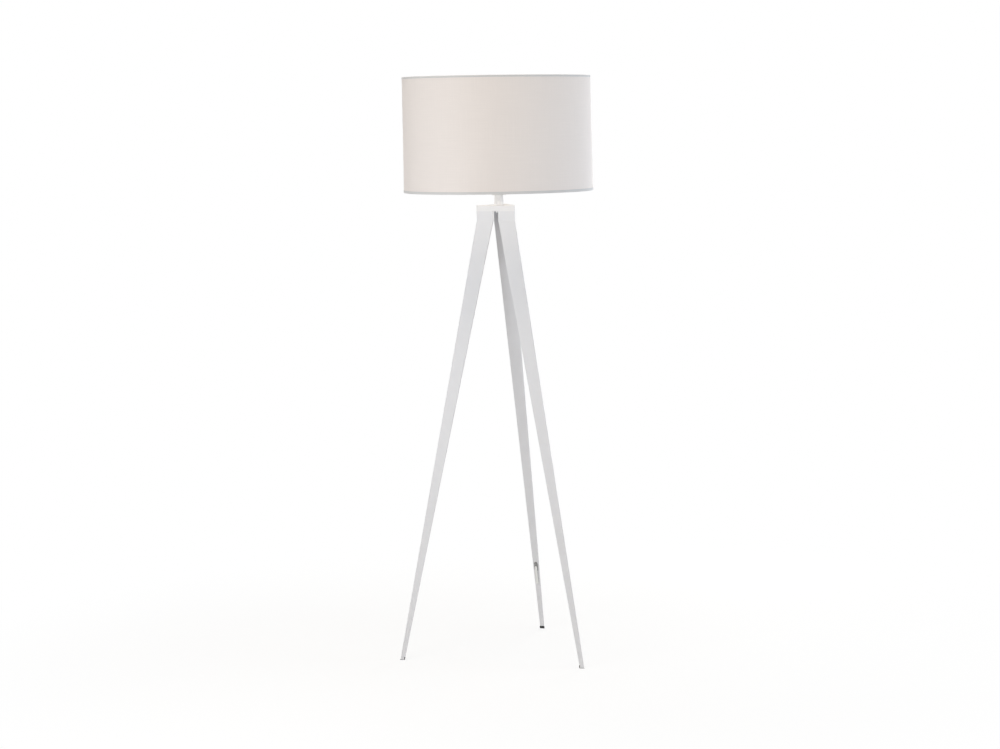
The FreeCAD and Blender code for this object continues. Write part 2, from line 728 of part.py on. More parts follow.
def make_shade_frame():
    """Two wire rings, the fitter ring that sits on the lampholder, and three wire arms."""
    for name, z in (("shade_top_ring", HIGH_RING), ("shade_bottom_ring", LOW_RING)):
        piece(name, torus(name, f"{shade_radius(z)} - {RING_INSET}", "dim.ring_wire / 2", z))
    piece("shade_fitter_ring", tube("shade_fitter_ring", "dim.fitter_diameter / 2", "dim.fitter_bore / 2",
                                    "dim.fitter_thickness", SKIRT_SEAT))
    end = f"({shade_radius(LOW_RING)} - {RING_INSET} - dim.ring_wire / 2 - dim.weld_gap)"
    drop = f"({ARM_HUB} - {LOW_RING})"
    start = f"(dim.fitter_diameter / 2 + dim.weld_gap + dim.arm_wire / 2 * {drop} / {end})"
    length = f"sqrt(({end} - {start})^2 + {drop}^2)"
    for count, angle in enumerate(ARM_ANGLES, start=1):
        wire = cylinder(f"arm_wire_{count}", "dim.arm_wire / 2", length, x=start, z=ARM_HUB)
        turn(wire, FreeCAD.Vector(0, 1, 0), f"90 deg + atan({drop} / ({end} - {start}))")
        label = f"shade_arm_{count}"
        piece(label, turned(label, wire, angle))


# The supply lead and the outlet are worked out with vectors, in the plane of the rear leg.
def in_leg_plane(reach, z):
    return FreeCAD.Vector(0, reach, z)


def rounded_path(points, radii):
    """Straight runs joined by tangent arcs, from one point of a route to the next."""
    edges = []
    start = points[0]
    for before, corner, after, radius in zip(points, points[1:], points[2:], radii):
        one = (corner - before).normalize()
        two = (after - corner).normalize()
        half_turn = one.getAngle(two) / 2
        reach = radius * math.tan(half_turn)
        into = corner - one * reach
        out = corner + two * reach
        middle = corner + (two - one).normalize() * (radius / math.cos(half_turn) - radius)
        edges.append(Part.LineSegment(start, into).toShape())
        edges.append(Part.Arc(into, middle, out).toShape())
        start = out
    edges.append(Part.LineSegment(start, points[-1]).toShape())
    return Part.Wire(edges)


def swept(path, diameter):
    """A round rod along a path."""
    start = path.Edges[0].valueAt(path.Edges[0].FirstParameter)
    along = path.Edges[0].tangentAt(path.Edges[0].FirstParameter)
    circle = Part.Wire(Part.Circle(start, along, diameter / 2).toShape())
    return path.makePipeShell([circle], True, False)


def feature(name, shape):
    thing = doc.addObject("Part::Feature", name)
    thing.Shape = shape
    return thing


def turn_radii(points, share):
    """The largest arcs that a share of the shorter run beside each corner allows."""
    radii = []
    for before, corner, after in zip(points, points[1:], points[2:]):
        shorter = min((corner - before).Length, (after - corner).Length)
        half_turn = (corner - before).getAngle(after - corner) / 2
        radii.append(share * shorter / math.tan(half_turn))
    return radii


def outlet_route():
    """Down the leg's middle, out through the slot, and down along the leg's face."""
    height = number("dim.outlet_height - dim.sleeve_offset")
    tilt = math.radians(number(FACE_TILT))
    along = FreeCAD.Vector(0, math.sin(tilt), -math.cos(tilt))
    outward = FreeCAD.Vector(0, -math.cos(tilt), -math.sin(tilt))
    lean = math.radians(number("dim.sleeve_angle"))
    crossing = in_leg_plane(number(leg_inner_face(f"{height}")), height)
    way = along * math.cos(lean) + outward * math.sin(lean)
    depth = (number(leg_centre(f"{height}")) - number(leg_inner_face(f"{height}"))) * math.cos(tilt)
    standoff = number("dim.sleeve_diameter / 2 + dim.sleeve_standoff")
    inside = crossing - way * (depth / math.sin(lean))
    outside = crossing + way * (standoff / math.sin(lean))
    top = number(leg_centre(BEND))
    bottom = number(leg_centre(FOOT))
    down = in_leg_plane(bottom - top, number(FOOT) - number(BEND)).normalize()
    root = inside - down * number("dim.sleeve_root")
    tail = outside + along * number("dim.sleeve_tail")
    return root, inside, outside, tail


def make_outlet():
    """The sleeve that leads the cord out of the rear leg, and the grommet that fills the slot round it."""
    points = outlet_route()
    radii = turn_radii(points, number("dim.sleeve_turn_share"))
    path = rounded_path(points, radii)
    diameter = number("dim.sleeve_diameter")
    outer = swept(path, diameter)
    tail_edge = path.Edges[-1]
    tail_start = tail_edge.valueAt(tail_edge.FirstParameter)
    tail = points[-1] - tail_start
    tail_length = tail.Length
    tail.normalize()
    taper = Part.makeCone(diameter / 2, number("dim.sleeve_tip_diameter") / 2, tail_length, tail_start, tail)
    head = swept(Part.Wire(path.Edges[:-1]), diameter)
    overrun = number("dim.overrun")
    first = points[0] + (points[0] - points[1]).normalize() * overrun
    last = points[3] + tail * overrun
    bore_path = rounded_path([first, points[1], points[2], last], radii)
    bore = swept(bore_path, number("dim.sleeve_bore"))
    sleeve = head.fuse(taper).removeSplitter().cut(bore)
    piece("cord_sleeve", feature("cord_sleeve", sleeve))
    share = outer.Volume / (path.Length * math.pi * diameter ** 2 / 4)
    print("sleeve radii", [round(radius, 1) for radius in radii], "volume share", round(share, 4))
    gap = "dim.grommet_clearance"
    plug = face_slot("grommet_plug", f"dim.outlet_length - 2 * {gap}", f"dim.outlet_width - 2 * {gap}",
                     "2 * dim.leg_wall + 2 * dim.grommet_proud", "dim.outlet_height")
    lip_blank = face_slot("grommet_lip", "dim.outlet_length + 2 * dim.grommet_lip",
                          "dim.outlet_width + 2 * dim.grommet_lip", "2 * dim.grommet_proud",
                          "dim.outlet_height")
    inside = leg_solid("grommet_limit", "dim.outlet_height - 2 * dim.outlet_length",
                       "dim.outlet_height + 2 * dim.outlet_length", "0")
    lip = cut("grommet_lip_cut", lip_blank, inside)
    blank = turned("grommet_blank", fuse("grommet_fused", plug, lip), REAR_ANGLE)
    passage_diameter = number("dim.sleeve_diameter + 2 * dim.grommet_clearance")
    passage = feature("grommet_passage", swept(path, passage_diameter))
    piece("outlet_grommet", cut("outlet_grommet", blank, passage))
    return points


def make_lead(outlet_points):
    """The lead from the lampholder, down the nipple and the rear leg, to the sleeve."""
    root = outlet_points[0]
    join = in_leg_plane(number(leg_centre(LEAD_JOIN)), number(LEAD_JOIN))
    fall = in_leg_plane(0, number(LEAD_TURN))
    top = in_leg_plane(0, number(f"{LEDGE} - dim.weld_gap"))
    route = [top, fall, join, root]
    radius = number("dim.lead_turn_radius")
    path = rounded_path(route, [radius, radius])
    rod = swept(path, number("dim.lead_diameter"))
    share = rod.Volume / (path.Length * math.pi * number("dim.lead_diameter") ** 2 / 4)
    print("lead length", round(path.Length, 1), "volume share", round(share, 4))
    piece("supply_lead", feature("supply_lead", rod))


for leg_side, leg_angle in LEG_ANGLES.items():
    make_leg(leg_side, leg_angle)
    make_foot(leg_side, leg_angle)
    make_end_plate(leg_side, leg_angle)
make_screws()
make_screw_washers()
make_hub_plate()
make_hub_cap()
make_nipple_stack()
make_neck()
make_holder_base()
make_skirt()
make_retainer()
make_insulator()
make_contacts()
make_bulb()
make_shade_wall()
make_trim("shade_top_trim", "(dim.overall_height - dim.trim_top_height)", "dim.trim_top_height",
          f"({SHADE_HIGH} - dim.trim_top_height)")
make_trim("shade_bottom_trim", SHADE_BOTTOM, "dim.trim_bottom_height", SHADE_LOW)
make_shade_frame()
make_lead(make_outlet())
doc.recompute()

# Nothing is written unless every object and every piece is sound.
for thing in doc.Objects:
    if "Invalid" in thing.State or "Error" in thing.State:
        raise RuntimeError(f"{thing.Name} failed: {thing.State}")
for thing in pieces:
    if thing.Shape.isNull() or not thing.Shape.isValid():
        raise RuntimeError(f"{thing.Label} has no sound shape")

os.makedirs("parts", exist_ok=True)
for thing in pieces:
    thing.Shape.exportStep(f"parts/{thing.Label}.step")
print(len(pieces), "pieces")
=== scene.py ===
"""Tripod floor lamp with a fabric drum shade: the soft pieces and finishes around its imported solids."""

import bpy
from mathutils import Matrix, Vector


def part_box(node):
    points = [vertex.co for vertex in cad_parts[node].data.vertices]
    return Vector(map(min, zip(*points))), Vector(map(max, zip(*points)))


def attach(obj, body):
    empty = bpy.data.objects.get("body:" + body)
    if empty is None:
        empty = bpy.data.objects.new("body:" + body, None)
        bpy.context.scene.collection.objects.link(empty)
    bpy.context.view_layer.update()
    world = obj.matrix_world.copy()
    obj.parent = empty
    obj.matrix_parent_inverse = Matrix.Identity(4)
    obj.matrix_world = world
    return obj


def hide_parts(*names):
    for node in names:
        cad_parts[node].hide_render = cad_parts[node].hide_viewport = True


bl_info = {
    "name": "Tripod Floor Lamp",
    "version": (1, 0, 0),
    "blender": (4, 5, 0),
    "location": "3D View > Sidebar > Floor Lamp",
    "description": "Dresses the floor lamp with its shade cloth, rim tapes, welds and finishes",
    "category": "Object",
}

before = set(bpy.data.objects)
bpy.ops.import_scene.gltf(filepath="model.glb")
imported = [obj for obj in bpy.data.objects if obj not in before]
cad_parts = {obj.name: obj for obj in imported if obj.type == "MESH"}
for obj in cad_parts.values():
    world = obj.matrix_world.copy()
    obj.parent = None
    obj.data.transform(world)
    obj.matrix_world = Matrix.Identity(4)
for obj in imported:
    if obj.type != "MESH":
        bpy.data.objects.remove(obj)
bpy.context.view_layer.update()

import math
import random

import bmesh
import bpy
from bpy.props import FloatProperty, FloatVectorProperty, IntProperty, PointerProperty
from mathutils import Matrix, Vector, noise

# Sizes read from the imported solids, in metres.
TOP_TRIM_LOW, TOP_TRIM_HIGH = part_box("shade_top_trim")
BOTTOM_TRIM_LOW, BOTTOM_TRIM_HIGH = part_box("shade_bottom_trim")
FABRIC_LOW, FABRIC_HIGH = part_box("shade_fabric")
FITTER_LOW, FITTER_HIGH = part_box("shade_fitter_ring")
LOWER_RING_LOW, LOWER_RING_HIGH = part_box("shade_bottom_ring")

SHADE_TAPER = (BOTTOM_TRIM_HIGH.x - TOP_TRIM_HIGH.x) / (TOP_TRIM_LOW.z - BOTTOM_TRIM_LOW.z)
MILLIMETRE = 0.001

# Angles of the shade's three arms round the lamp, from +X.
ARM_AZIMUTHS = (math.radians(30), math.radians(150), math.radians(270))

# How finely the wound strips are divided: round the shade, on the climb, and on the lap.
COLUMNS_ROUND = 352
CLIMB_STEPS = 8
LAP_STEPS = 6

# Length over which a strip's end climbs onto its start.
CLIMB_LENGTH = 8 * MILLIMETRE


# Settings that the sidebar shows.


class ShadeSettings(bpy.types.PropertyGroup):
    """Sizes of the shade's soft pieces"""

    cloth_thickness: FloatProperty(
        name="Cloth Thickness", description="Thickness of the shade's cloth",
        default=0.5 * MILLIMETRE, min=0.0002, max=0.001, unit="LENGTH")
    cloth_inset: FloatProperty(
        name="Cloth Inset", description="How far the cloth lies inside the rim tapes' outer face",
        default=0.5 * MILLIMETRE, min=0.0, max=0.002, unit="LENGTH")
    lap_width: FloatProperty(
        name="Lap Width", description="Overlap of the cloth's two ends at the back",
        default=12 * MILLIMETRE, min=0.004, max=0.03, unit="LENGTH")
    lap_azimuth: FloatProperty(
        name="Lap Azimuth", description="Where the cloth's lap starts round the shade",
        default=math.radians(93), subtype="ANGLE")
    waviness: FloatProperty(
        name="Waviness", description="How far the cloth's wall wanders from a true cone",
        default=0.28 * MILLIMETRE, min=0.0, max=0.0005, unit="LENGTH")
    tape_thickness: FloatProperty(
        name="Tape Thickness", description="Thickness of the rim tapes",
        default=0.4 * MILLIMETRE, min=0.0002, max=0.0005, unit="LENGTH")
    tape_width: FloatProperty(
        name="Folded Tape Width", description="Width over the fold, from the outer face to the inner face",
        default=2.5 * MILLIMETRE, min=0.002, max=0.004, unit="LENGTH")
    tape_fold: FloatProperty(
        name="Tape Fold Radius", description="Outer radius of the tape's two folds",
        default=0.8 * MILLIMETRE, min=0.0005, max=0.0012, unit="LENGTH")
    threads_round: IntProperty(
        name="Threads Round", description="Upright threads round the whole shade",
        default=1960, min=600, max=4000)


class FinishSettings(bpy.types.PropertyGroup):
    """Colours of the lamp's finishes"""

    paint: FloatVectorProperty(
        name="Paint", description="Powder coat of the legs and the shade's wires",
        default=(0.736, 0.733, 0.750), subtype="COLOR", size=3, min=0.0, max=1.0)
    # The hub cap's lighter copy of the leg paint is painted light.
    hub_paint_with_painted_light: FloatVectorProperty(
        name="Hub Paint With Painted Light", description="Lighter paint of the hub cap",
        default=(0.80, 0.79, 0.795), subtype="COLOR", size=3, min=0.0, max=1.0)
    # The neck sleeve's brighter copy of the paint is painted light, lifting it out of the shade's shadow.
    neck_paint_with_painted_light: FloatVectorProperty(
        name="Neck Paint With Painted Light", description="Bright white paint of the neck sleeve",
        default=(0.92, 0.91, 0.915), subtype="COLOR", size=3, min=0.0, max=1.0)
    cloth: FloatVectorProperty(
        name="Shade Cloth", description="Warm white of the shade's cloth",
        default=(0.87, 0.81, 0.775), subtype="COLOR", size=3, min=0.0, max=1.0)
    # The rim tape's grey, darker than the cloth, is painted shade along the folded rims.
    tape: FloatVectorProperty(
        name="Rim Tape With Painted Shade", description="Woven tape folded over the shade's rims",
        default=(0.68, 0.67, 0.665), subtype="COLOR", size=3, min=0.0, max=1.0)
    lining: FloatVectorProperty(
        name="Shade Lining", description="Stiff white sheet inside the shade",
        default=(0.84, 0.83, 0.80), subtype="COLOR", size=3, min=0.0, max=1.0)
    plastic: FloatVectorProperty(
        name="White Plastic", description="Moulded plastic of the lampholder and the bulb's housing",
        default=(0.80, 0.795, 0.775), subtype="COLOR", size=3, min=0.0, max=1.0)
    rubber: FloatVectorProperty(
        name="Black Rubber", description="Rubber of the feet",
        default=(0.022, 0.021, 0.021), subtype="COLOR", size=3, min=0.0, max=1.0)
    grommet: FloatVectorProperty(
        name="Grey Rubber", description="Grommet that fills the slot low on the rear leg round the sleeve",
        default=(0.25, 0.25, 0.25), subtype="COLOR", size=3, min=0.0, max=1.0)


class StageSettings(bpy.types.PropertyGroup):
    """Camera and light of the studio"""

    camera_distance: FloatProperty(
        name="Camera Distance", description="Level distance from the lamp's axis to the camera",
        default=6.2289, min=1.0, max=20.0, unit="LENGTH")
    camera_height: FloatProperty(
        name="Camera Height", description="Height of the camera over the floor",
        default=1.458, min=0.0, max=5.0, unit="LENGTH")
    camera_azimuth: FloatProperty(
        name="Camera Azimuth", description="Angle of the camera round the lamp, from straight in front",
        default=math.radians(19.1625), subtype="ANGLE")
    camera_yaw: FloatProperty(
        name="Camera Yaw", description="Turn of the camera away from the lamp's axis",
        default=math.radians(-4.8917), subtype="ANGLE")
    camera_pitch: FloatProperty(
        name="Camera Pitch", description="Downward tilt of the camera",
        default=math.radians(6.4647), subtype="ANGLE")
    camera_roll: FloatProperty(
        name="Camera Roll", description="Roll of the camera about its own axis",
        default=math.radians(0.7742), subtype="ANGLE")
    lens: FloatProperty(
        name="Lens", description="Focal length in millimetres on a 36 mm wide sensor",
        default=83.3315, min=20.0, max=200.0)
    shift: FloatProperty(
        name="Lens Shift", description="Sideways lens shift that keeps the shade's rims level",
        default=-0.2, min=-0.5, max=0.5)
    ambient: FloatProperty(
        name="Ambient Light", description="Strength of the light from all round",
        default=0.25, min=0.0, max=2.0)
    key: FloatProperty(
        name="Key Light", description="Light that the front key on the left adds to a surface facing it",
        default=0.43, min=0.0, max=2.0)
    right_fill: FloatProperty(
        name="Right Fill", description="Light that the cool lamp on the right adds to a surface facing it",
        default=0.41, min=0.0, max=2.0)
    rear_fill: FloatProperty(
        name="Rear Fill", description="Light that the low lamp behind adds to a surface facing it",
        default=0.40, min=0.0, max=2.0)
    left_rear_fill: FloatProperty(
        name="Left Rear Fill",
        description="Light that the lamp behind on the left adds to a surface facing it",
        default=0.15, min=0.0, max=2.0)
    overhead: FloatProperty(
        name="Overhead Light", description="Light that the ceiling panel adds to the floor",
        default=0.46, min=0.0, max=2.0)
    floor_radius: FloatProperty(
        name="Floor Radius", description="Radius of the round floor",
        default=9.0, min=2.0, max=30.0, unit="LENGTH")


# Shader nodes and the groups that several finishes share.


class Wiring:
    """Short calls that place nodes in one tree and hand back the socket that carries on."""

    def __init__(self, tree):
        self.tree = tree

    def node(self, kind, inputs=None, **settings):
        made = self.tree.nodes.new(kind)
        for key, value in settings.items():
            setattr(made, key, value)
        for key, value in (inputs or {}).items():
            self.feed(made.inputs[key], value)
        return made

    def feed(self, socket, value):
        if isinstance(value, bpy.types.NodeSocket):
            self.tree.links.new(value, socket)
        else:
            socket.default_value = value

    def math(self, operation, *values, clamp=False):
        made = self.tree.nodes.new("ShaderNodeMath")
        made.operation = operation
        made.use_clamp = clamp
        for socket, value in zip(made.inputs, values):
            self.feed(socket, value)
        return made.outputs[0]

    def place(self):
        """Place on the piece, in metres, which rides with the piece."""
        return self.node("ShaderNodeTexCoord").outputs["Object"]

    def stretched(self, vector, x, y, z):
        made = self.node("ShaderNodeVectorMath", {0: vector, 1: (x, y, z)}, operation="MULTIPLY")
        return made.outputs[0]

    def noise(self, vector, scale, detail=2.0, roughness=0.5):
        made = self.node("ShaderNodeTexNoise", {
            "Vector": vector, "Scale": scale, "Detail": detail, "Roughness": roughness})
        return made.outputs["Fac"]

    def spread(self, value, low, high, to_low=0.0, to_high=1.0, smooth=False):
        made = self.node("ShaderNodeMapRange", {
            "Value": value, "From Min": low, "From Max": high, "To Min": to_low, "To Max": to_high})
        if smooth:
            made.interpolation_type = "SMOOTHSTEP"
        return made.outputs["Result"]

    def blend(self, mask, one, other):
        """A colour that goes from one to the other with the mask."""
        made = self.tree.nodes.new("ShaderNodeMix")
        made.data_type = "RGBA"
        colours_in = [socket for socket in made.inputs if socket.type == "RGBA"]
        colour_out = next(socket for socket in made.outputs if socket.type == "RGBA")
        self.feed(made.inputs["Factor"], mask)
        self.feed(colours_in[0], one)
        self.feed(colours_in[1], other)
        return colour_out

    def group(self, tree, **inputs):
        made = self.tree.nodes.new("ShaderNodeGroup")
        made.node_tree = tree
        for key, value in inputs.items():
            self.feed(made.inputs[key.replace("_", " ").title()], value)
        return made.outputs

    def bump(self, height, strength, distance):
        inputs = {"Height": height, "Strength": strength, "Distance": distance}
        return self.node("ShaderNodeBump", inputs).outputs["Normal"]


def shader_group(name, inputs, outputs):
    """An empty shared group with named number sockets, and the wiring of its inside."""
    tree = bpy.data.node_groups.new(name, "ShaderNodeTree")
    for label, default in inputs.items():
        socket = tree.interface.new_socket(label, in_out="INPUT", socket_type="NodeSocketFloat")
        socket.default_value = default
    for label in outputs:
        tree.interface.new_socket(label, in_out="OUTPUT", socket_type="NodeSocketFloat")
    wiring = Wiring(tree)
    return tree, wiring, wiring.node("NodeGroupInput").outputs, wiring.node("NodeGroupOutput").inputs


def build_grain_group():
    """Fine moulded or cast grain, and slow cloudy variation."""
    tree, net, given, out = shader_group(
        "Fine Grain", {"Grain Size": MILLIMETRE, "Cloud Size": 60 * MILLIMETRE}, ("Height", "Cloud"))
    place = net.place()
    grain_scale = net.math("DIVIDE", 1.0, given["Grain Size"])
    cloud_scale = net.math("DIVIDE", 1.0, given["Cloud Size"])
    net.feed(out["Height"], net.noise(place, grain_scale, detail=2.0, roughness=0.55))
    net.feed(out["Cloud"], net.noise(place, cloud_scale, detail=3.0, roughness=0.6))
    return tree


def build_peel_group():
    """The soft dimples of a baked powder coat, with a finer grain in them."""
    tree, net, given, out = shader_group("Powder Peel", {"Dimple Size": 1.6 * MILLIMETRE}, ("Height",))
    times_finer = 7.0
    grain_share = 0.2
    place = net.place()
    scale = net.math("DIVIDE", 1.0, given["Dimple Size"])
    dimples = net.noise(place, scale, detail=0.0)
    grain = net.noise(place, net.math("MULTIPLY", scale, times_finer), detail=1.0)
    soft = net.math("MULTIPLY", dimples, 1.0 - grain_share)
    fine = net.math("MULTIPLY", grain, grain_share)
    net.feed(out["Height"], net.math("ADD", soft, fine))
    return tree


def build_lines_group():
    """Fine turning or drawing lines that run round the lamp's axis."""
    tree, net, given, out = shader_group(
        "Turned Lines", {"Line Pitch": 0.4 * MILLIMETRE}, ("Height", "Streak"))
    drawn_out = 0.02
    streak_scale_share = 0.12
    scale = net.math("DIVIDE", 1.0, given["Line Pitch"])
    flat = net.stretched(net.place(), drawn_out, drawn_out, 1.0)
    net.feed(out["Height"], net.noise(flat, scale, detail=1.0))
    streak_scale = net.math("MULTIPLY", scale, streak_scale_share)
    net.feed(out["Streak"], net.noise(flat, streak_scale, detail=3.0, roughness=0.65))
    return tree


def build_dust_group():
    """Dust that settles on faces that look up."""
    tree, net, given, out = shader_group("Settled Dust", {"Amount": 0.3}, ("Mask",))
    normal = net.node("ShaderNodeNewGeometry").outputs["Normal"]
    up = net.node("ShaderNodeSeparateXYZ", {0: normal}).outputs["Z"]
    facing = net.spread(up, 0.35, 0.95, smooth=True)
    specks = net.noise(net.place(), scale=160.0, detail=4.0, roughness=0.6)
    patches = net.spread(specks, 0.3, 0.75)
    net.feed(out["Mask"], net.math("MULTIPLY", net.math("MULTIPLY", facing, patches), given["Amount"]))
    return tree


def build_scuff_group():
    """Small rubs and marks that gather towards the floor."""
    tree, net, given, out = shader_group("Floor Scuffs", {"Reach": 0.12, "Amount": 0.6}, ("Mask",))
    place = net.place()
    height = net.node("ShaderNodeSeparateXYZ", {0: place}).outputs["Z"]
    low = net.math("SUBTRACT", 1.0, net.math("DIVIDE", height, given["Reach"]), clamp=True)
    upright = net.stretched(place, 1.0, 1.0, 0.22)
    rubs = net.noise(upright, scale=420.0, detail=3.0, roughness=0.62)
    marks = net.spread(rubs, 0.56, 0.70, smooth=True)
    net.feed(out["Mask"], net.math("MULTIPLY", net.math("MULTIPLY", low, marks), given["Amount"]))
    return tree


def build_weave_group():
    """Plain weave wrapped round the lamp's axis: crossing threads, and tones that follow single threads."""
    tree, net, given, out = shader_group(
        "Wrapped Weave", {"Threads Round": 1960.0, "Thread Pitch": 0.8 * MILLIMETRE}, ("Height", "Tone"))
    axes = net.node("ShaderNodeSeparateXYZ", {0: net.place()}).outputs
    turn = net.math("DIVIDE", net.math("ARCTAN2", axes["Y"], axes["X"]), math.tau)
    round_count = net.math("MULTIPLY", turn, given["Threads Round"])
    up_count = net.math("DIVIDE", axes["Z"], given["Thread Pitch"])
    warp = net.math("SINE", net.math("MULTIPLY", round_count, math.pi))
    weft = net.math("SINE", net.math("MULTIPLY", up_count, math.pi))
    over = net.math("MULTIPLY_ADD", net.math("MULTIPLY", warp, weft), 0.5, 0.5)
    warp_height = net.math("MULTIPLY", net.math("ABSOLUTE", warp), over)
    weft_height = net.math("MULTIPLY", net.math("ABSOLUTE", weft), net.math("SUBTRACT", 1.0, over))
    net.feed(out["Height"], net.math("MAXIMUM", warp_height, weft_height))
    counts = net.node("ShaderNodeCombineXYZ", {"X": round_count, "Y": up_count}).outputs[0]
    upright = net.noise(net.stretched(counts, 0.45, 0.006, 1.0), scale=1.0)
    level = net.noise(net.stretched(counts, 0.010, 0.40, 1.0), scale=1.0)
    net.feed(out["Tone"], net.math("MULTIPLY", net.math("ADD", upright, level), 0.5))
    return tree


def plain(colour, factor=1.0):
    """A colour as a socket takes it, made darker or lighter by a factor."""
    return tuple(min(1.0, channel * factor) for channel in colour) + (1.0,)


def new_material(name):
    material = bpy.data.materials.new(name)
    material.use_nodes = True
    tree = material.node_tree
    tree.nodes.clear()
    net = Wiring(tree)
    shader = net.node("ShaderNodeBsdfPrincipled")
    output = net.node("ShaderNodeOutputMaterial", {"Surface": shader.outputs[0]})
    return material, net, shader.inputs, output


GROUP_BUILDERS = {
    "grain": build_grain_group, "peel": build_peel_group, "lines": build_lines_group,
    "dust": build_dust_group, "scuffs": build_scuff_group, "weave": build_weave_group}
BUILT_GROUPS = {}


def shared(name):
    """A shared group by name, built the first time that a finish asks for it."""
    if name not in BUILT_GROUPS:
        BUILT_GROUPS[name] = GROUP_BUILDERS[name]()
    return BUILT_GROUPS[name]


# Finishes.


DUST_COLOUR = (0.62, 0.60, 0.56)


def paint_material(name, colour, dimple_size, scuffed):
    """White powder coat on steel, with orange peel and a satin gloss."""
    material, net, shader, _ = new_material(name)
    cloud = net.group(shared("grain"), grain_size=0.5 * MILLIMETRE, cloud_size=90 * MILLIMETRE)["Cloud"]
    tone = net.blend(net.spread(cloud, 0.3, 0.7), plain(colour, 0.975), plain(colour, 1.015))
    dust = net.group(shared("dust"), amount=0.16)["Mask"]
    tone = net.blend(dust, tone, plain(DUST_COLOUR))
    rough = net.spread(cloud, 0.25, 0.75, to_low=0.40, to_high=0.50)
    if scuffed:
        scuffs = net.group(shared("scuffs"), reach=0.14, amount=0.55)["Mask"]
        tone = net.blend(scuffs, tone, plain(colour, 0.74))
        rough = net.math("MULTIPLY_ADD", scuffs, 0.22, rough)
    net.feed(shader["Base Color"], tone)
    net.feed(shader["Roughness"], net.math("MULTIPLY_ADD", dust, 0.5, rough))
    peel = net.group(shared("peel"), dimple_size=dimple_size)["Height"]
    net.feed(shader["Normal"], net.bump(peel, strength=0.32, distance=0.05 * MILLIMETRE))
    return material


def metal_material(name, dark, light, roughness, line_pitch):
    """Bare or plated metal with turning lines and cloudy tarnish."""
    material, net, shader, _ = new_material(name)
    lines = net.group(shared("lines"), line_pitch=line_pitch)
    cloud = net.group(shared("grain"), grain_size=0.3 * MILLIMETRE, cloud_size=9 * MILLIMETRE)["Cloud"]
    mixed = net.math("MULTIPLY", net.math("ADD", lines["Streak"], cloud), 0.5)
    net.feed(shader["Base Color"], net.blend(net.spread(mixed, 0.32, 0.66), plain(dark), plain(light)))
    shader["Metallic"].default_value = 1.0
    rough = net.spread(mixed, 0.3, 0.7, to_low=roughness + 0.14, to_high=roughness - 0.06)
    net.feed(shader["Roughness"], rough)
    net.feed(shader["Normal"], net.bump(lines["Height"], strength=0.3, distance=0.02 * MILLIMETRE))
    return material


def moulded_material(name, colour, roughness, grain_size, depth, contrast=0.03, dust_amount=0.2):
    """Moulded plastic or rubber with a fine spark-eroded grain."""
    material, net, shader, _ = new_material(name)
    grain = net.group(shared("grain"), grain_size=grain_size, cloud_size=14 * MILLIMETRE)
    cloud = net.spread(grain["Cloud"], 0.3, 0.7)
    tone = net.blend(cloud, plain(colour, 1 - contrast), plain(colour, 1 + contrast))
    dust = net.group(shared("dust"), amount=dust_amount)["Mask"]
    net.feed(shader["Base Color"], net.blend(dust, tone, plain(DUST_COLOUR)))
    rough = net.spread(grain["Height"], 0.25, 0.75, to_low=roughness - 0.06, to_high=roughness + 0.08)
    net.feed(shader["Roughness"], rough)
    net.feed(shader["Normal"], net.bump(grain["Height"], strength=0.4, distance=depth))
    return material, net, shader


def rubber_material(name, colour):
    """Dull moulded rubber, greyed by the floor along its lower edge."""
    material, net, shader = moulded_material(
        name, colour, roughness=0.74, grain_size=0.45 * MILLIMETRE, depth=0.05 * MILLIMETRE,
        contrast=0.12, dust_amount=0.35)
    scuffs = net.group(shared("scuffs"), reach=0.012, amount=0.7)["Mask"]
    under = shader["Base Color"].links[0].from_socket
    net.feed(shader["Base Color"], net.blend(scuffs, under, plain(DUST_COLOUR, 0.35)))
    return material


def cloth_material(name, colour, threads_round, pitch, contrast, depth, sheen):
    """Woven cloth wound round the shade."""
    material, net, shader, _ = new_material(name)
    weave = net.group(shared("weave"), threads_round=threads_round, thread_pitch=pitch)
    cloud = net.group(shared("grain"), grain_size=0.4 * MILLIMETRE, cloud_size=130 * MILLIMETRE)["Cloud"]
    threads = net.spread(weave["Tone"], 0.34, 0.66)
    tone = net.blend(threads, plain(colour, 1 - contrast), plain(colour, 1 + 0.6 * contrast))
    # Darker colour in the hollows between the threads is painted shade.
    gap_shade_strength = 8.75 * contrast
    gap_painted_shade = net.spread(weave["Height"], 0.0, 0.45, to_low=gap_shade_strength, to_high=0.0)
    tone = net.blend(gap_painted_shade, tone, plain(colour, 0.90))
    tone = net.blend(net.spread(cloud, 0.35, 0.8, to_high=0.5), tone, plain(colour, 0.97))
    net.feed(shader["Base Color"], tone)
    net.feed(shader["Roughness"], net.spread(weave["Height"], 0.0, 1.0, to_low=0.92, to_high=0.80))
    shader["Sheen Weight"].default_value = sheen
    shader["Sheen Roughness"].default_value = 0.45
    shader["Sheen Tint"].default_value = (0.90, 0.95, 1.0, 1.0)
    shader["Specular IOR Level"].default_value = 0.25
    net.feed(shader["Normal"], net.bump(weave["Height"], strength=0.35, distance=depth))
    return material


def lining_material(name, colour):
    """Stiff white plastic sheet with a faint rolled grain."""
    material, *_ = moulded_material(
        name, colour, roughness=0.42, grain_size=0.9 * MILLIMETRE, depth=0.02 * MILLIMETRE,
        contrast=0.012, dust_amount=0.0)
    return material


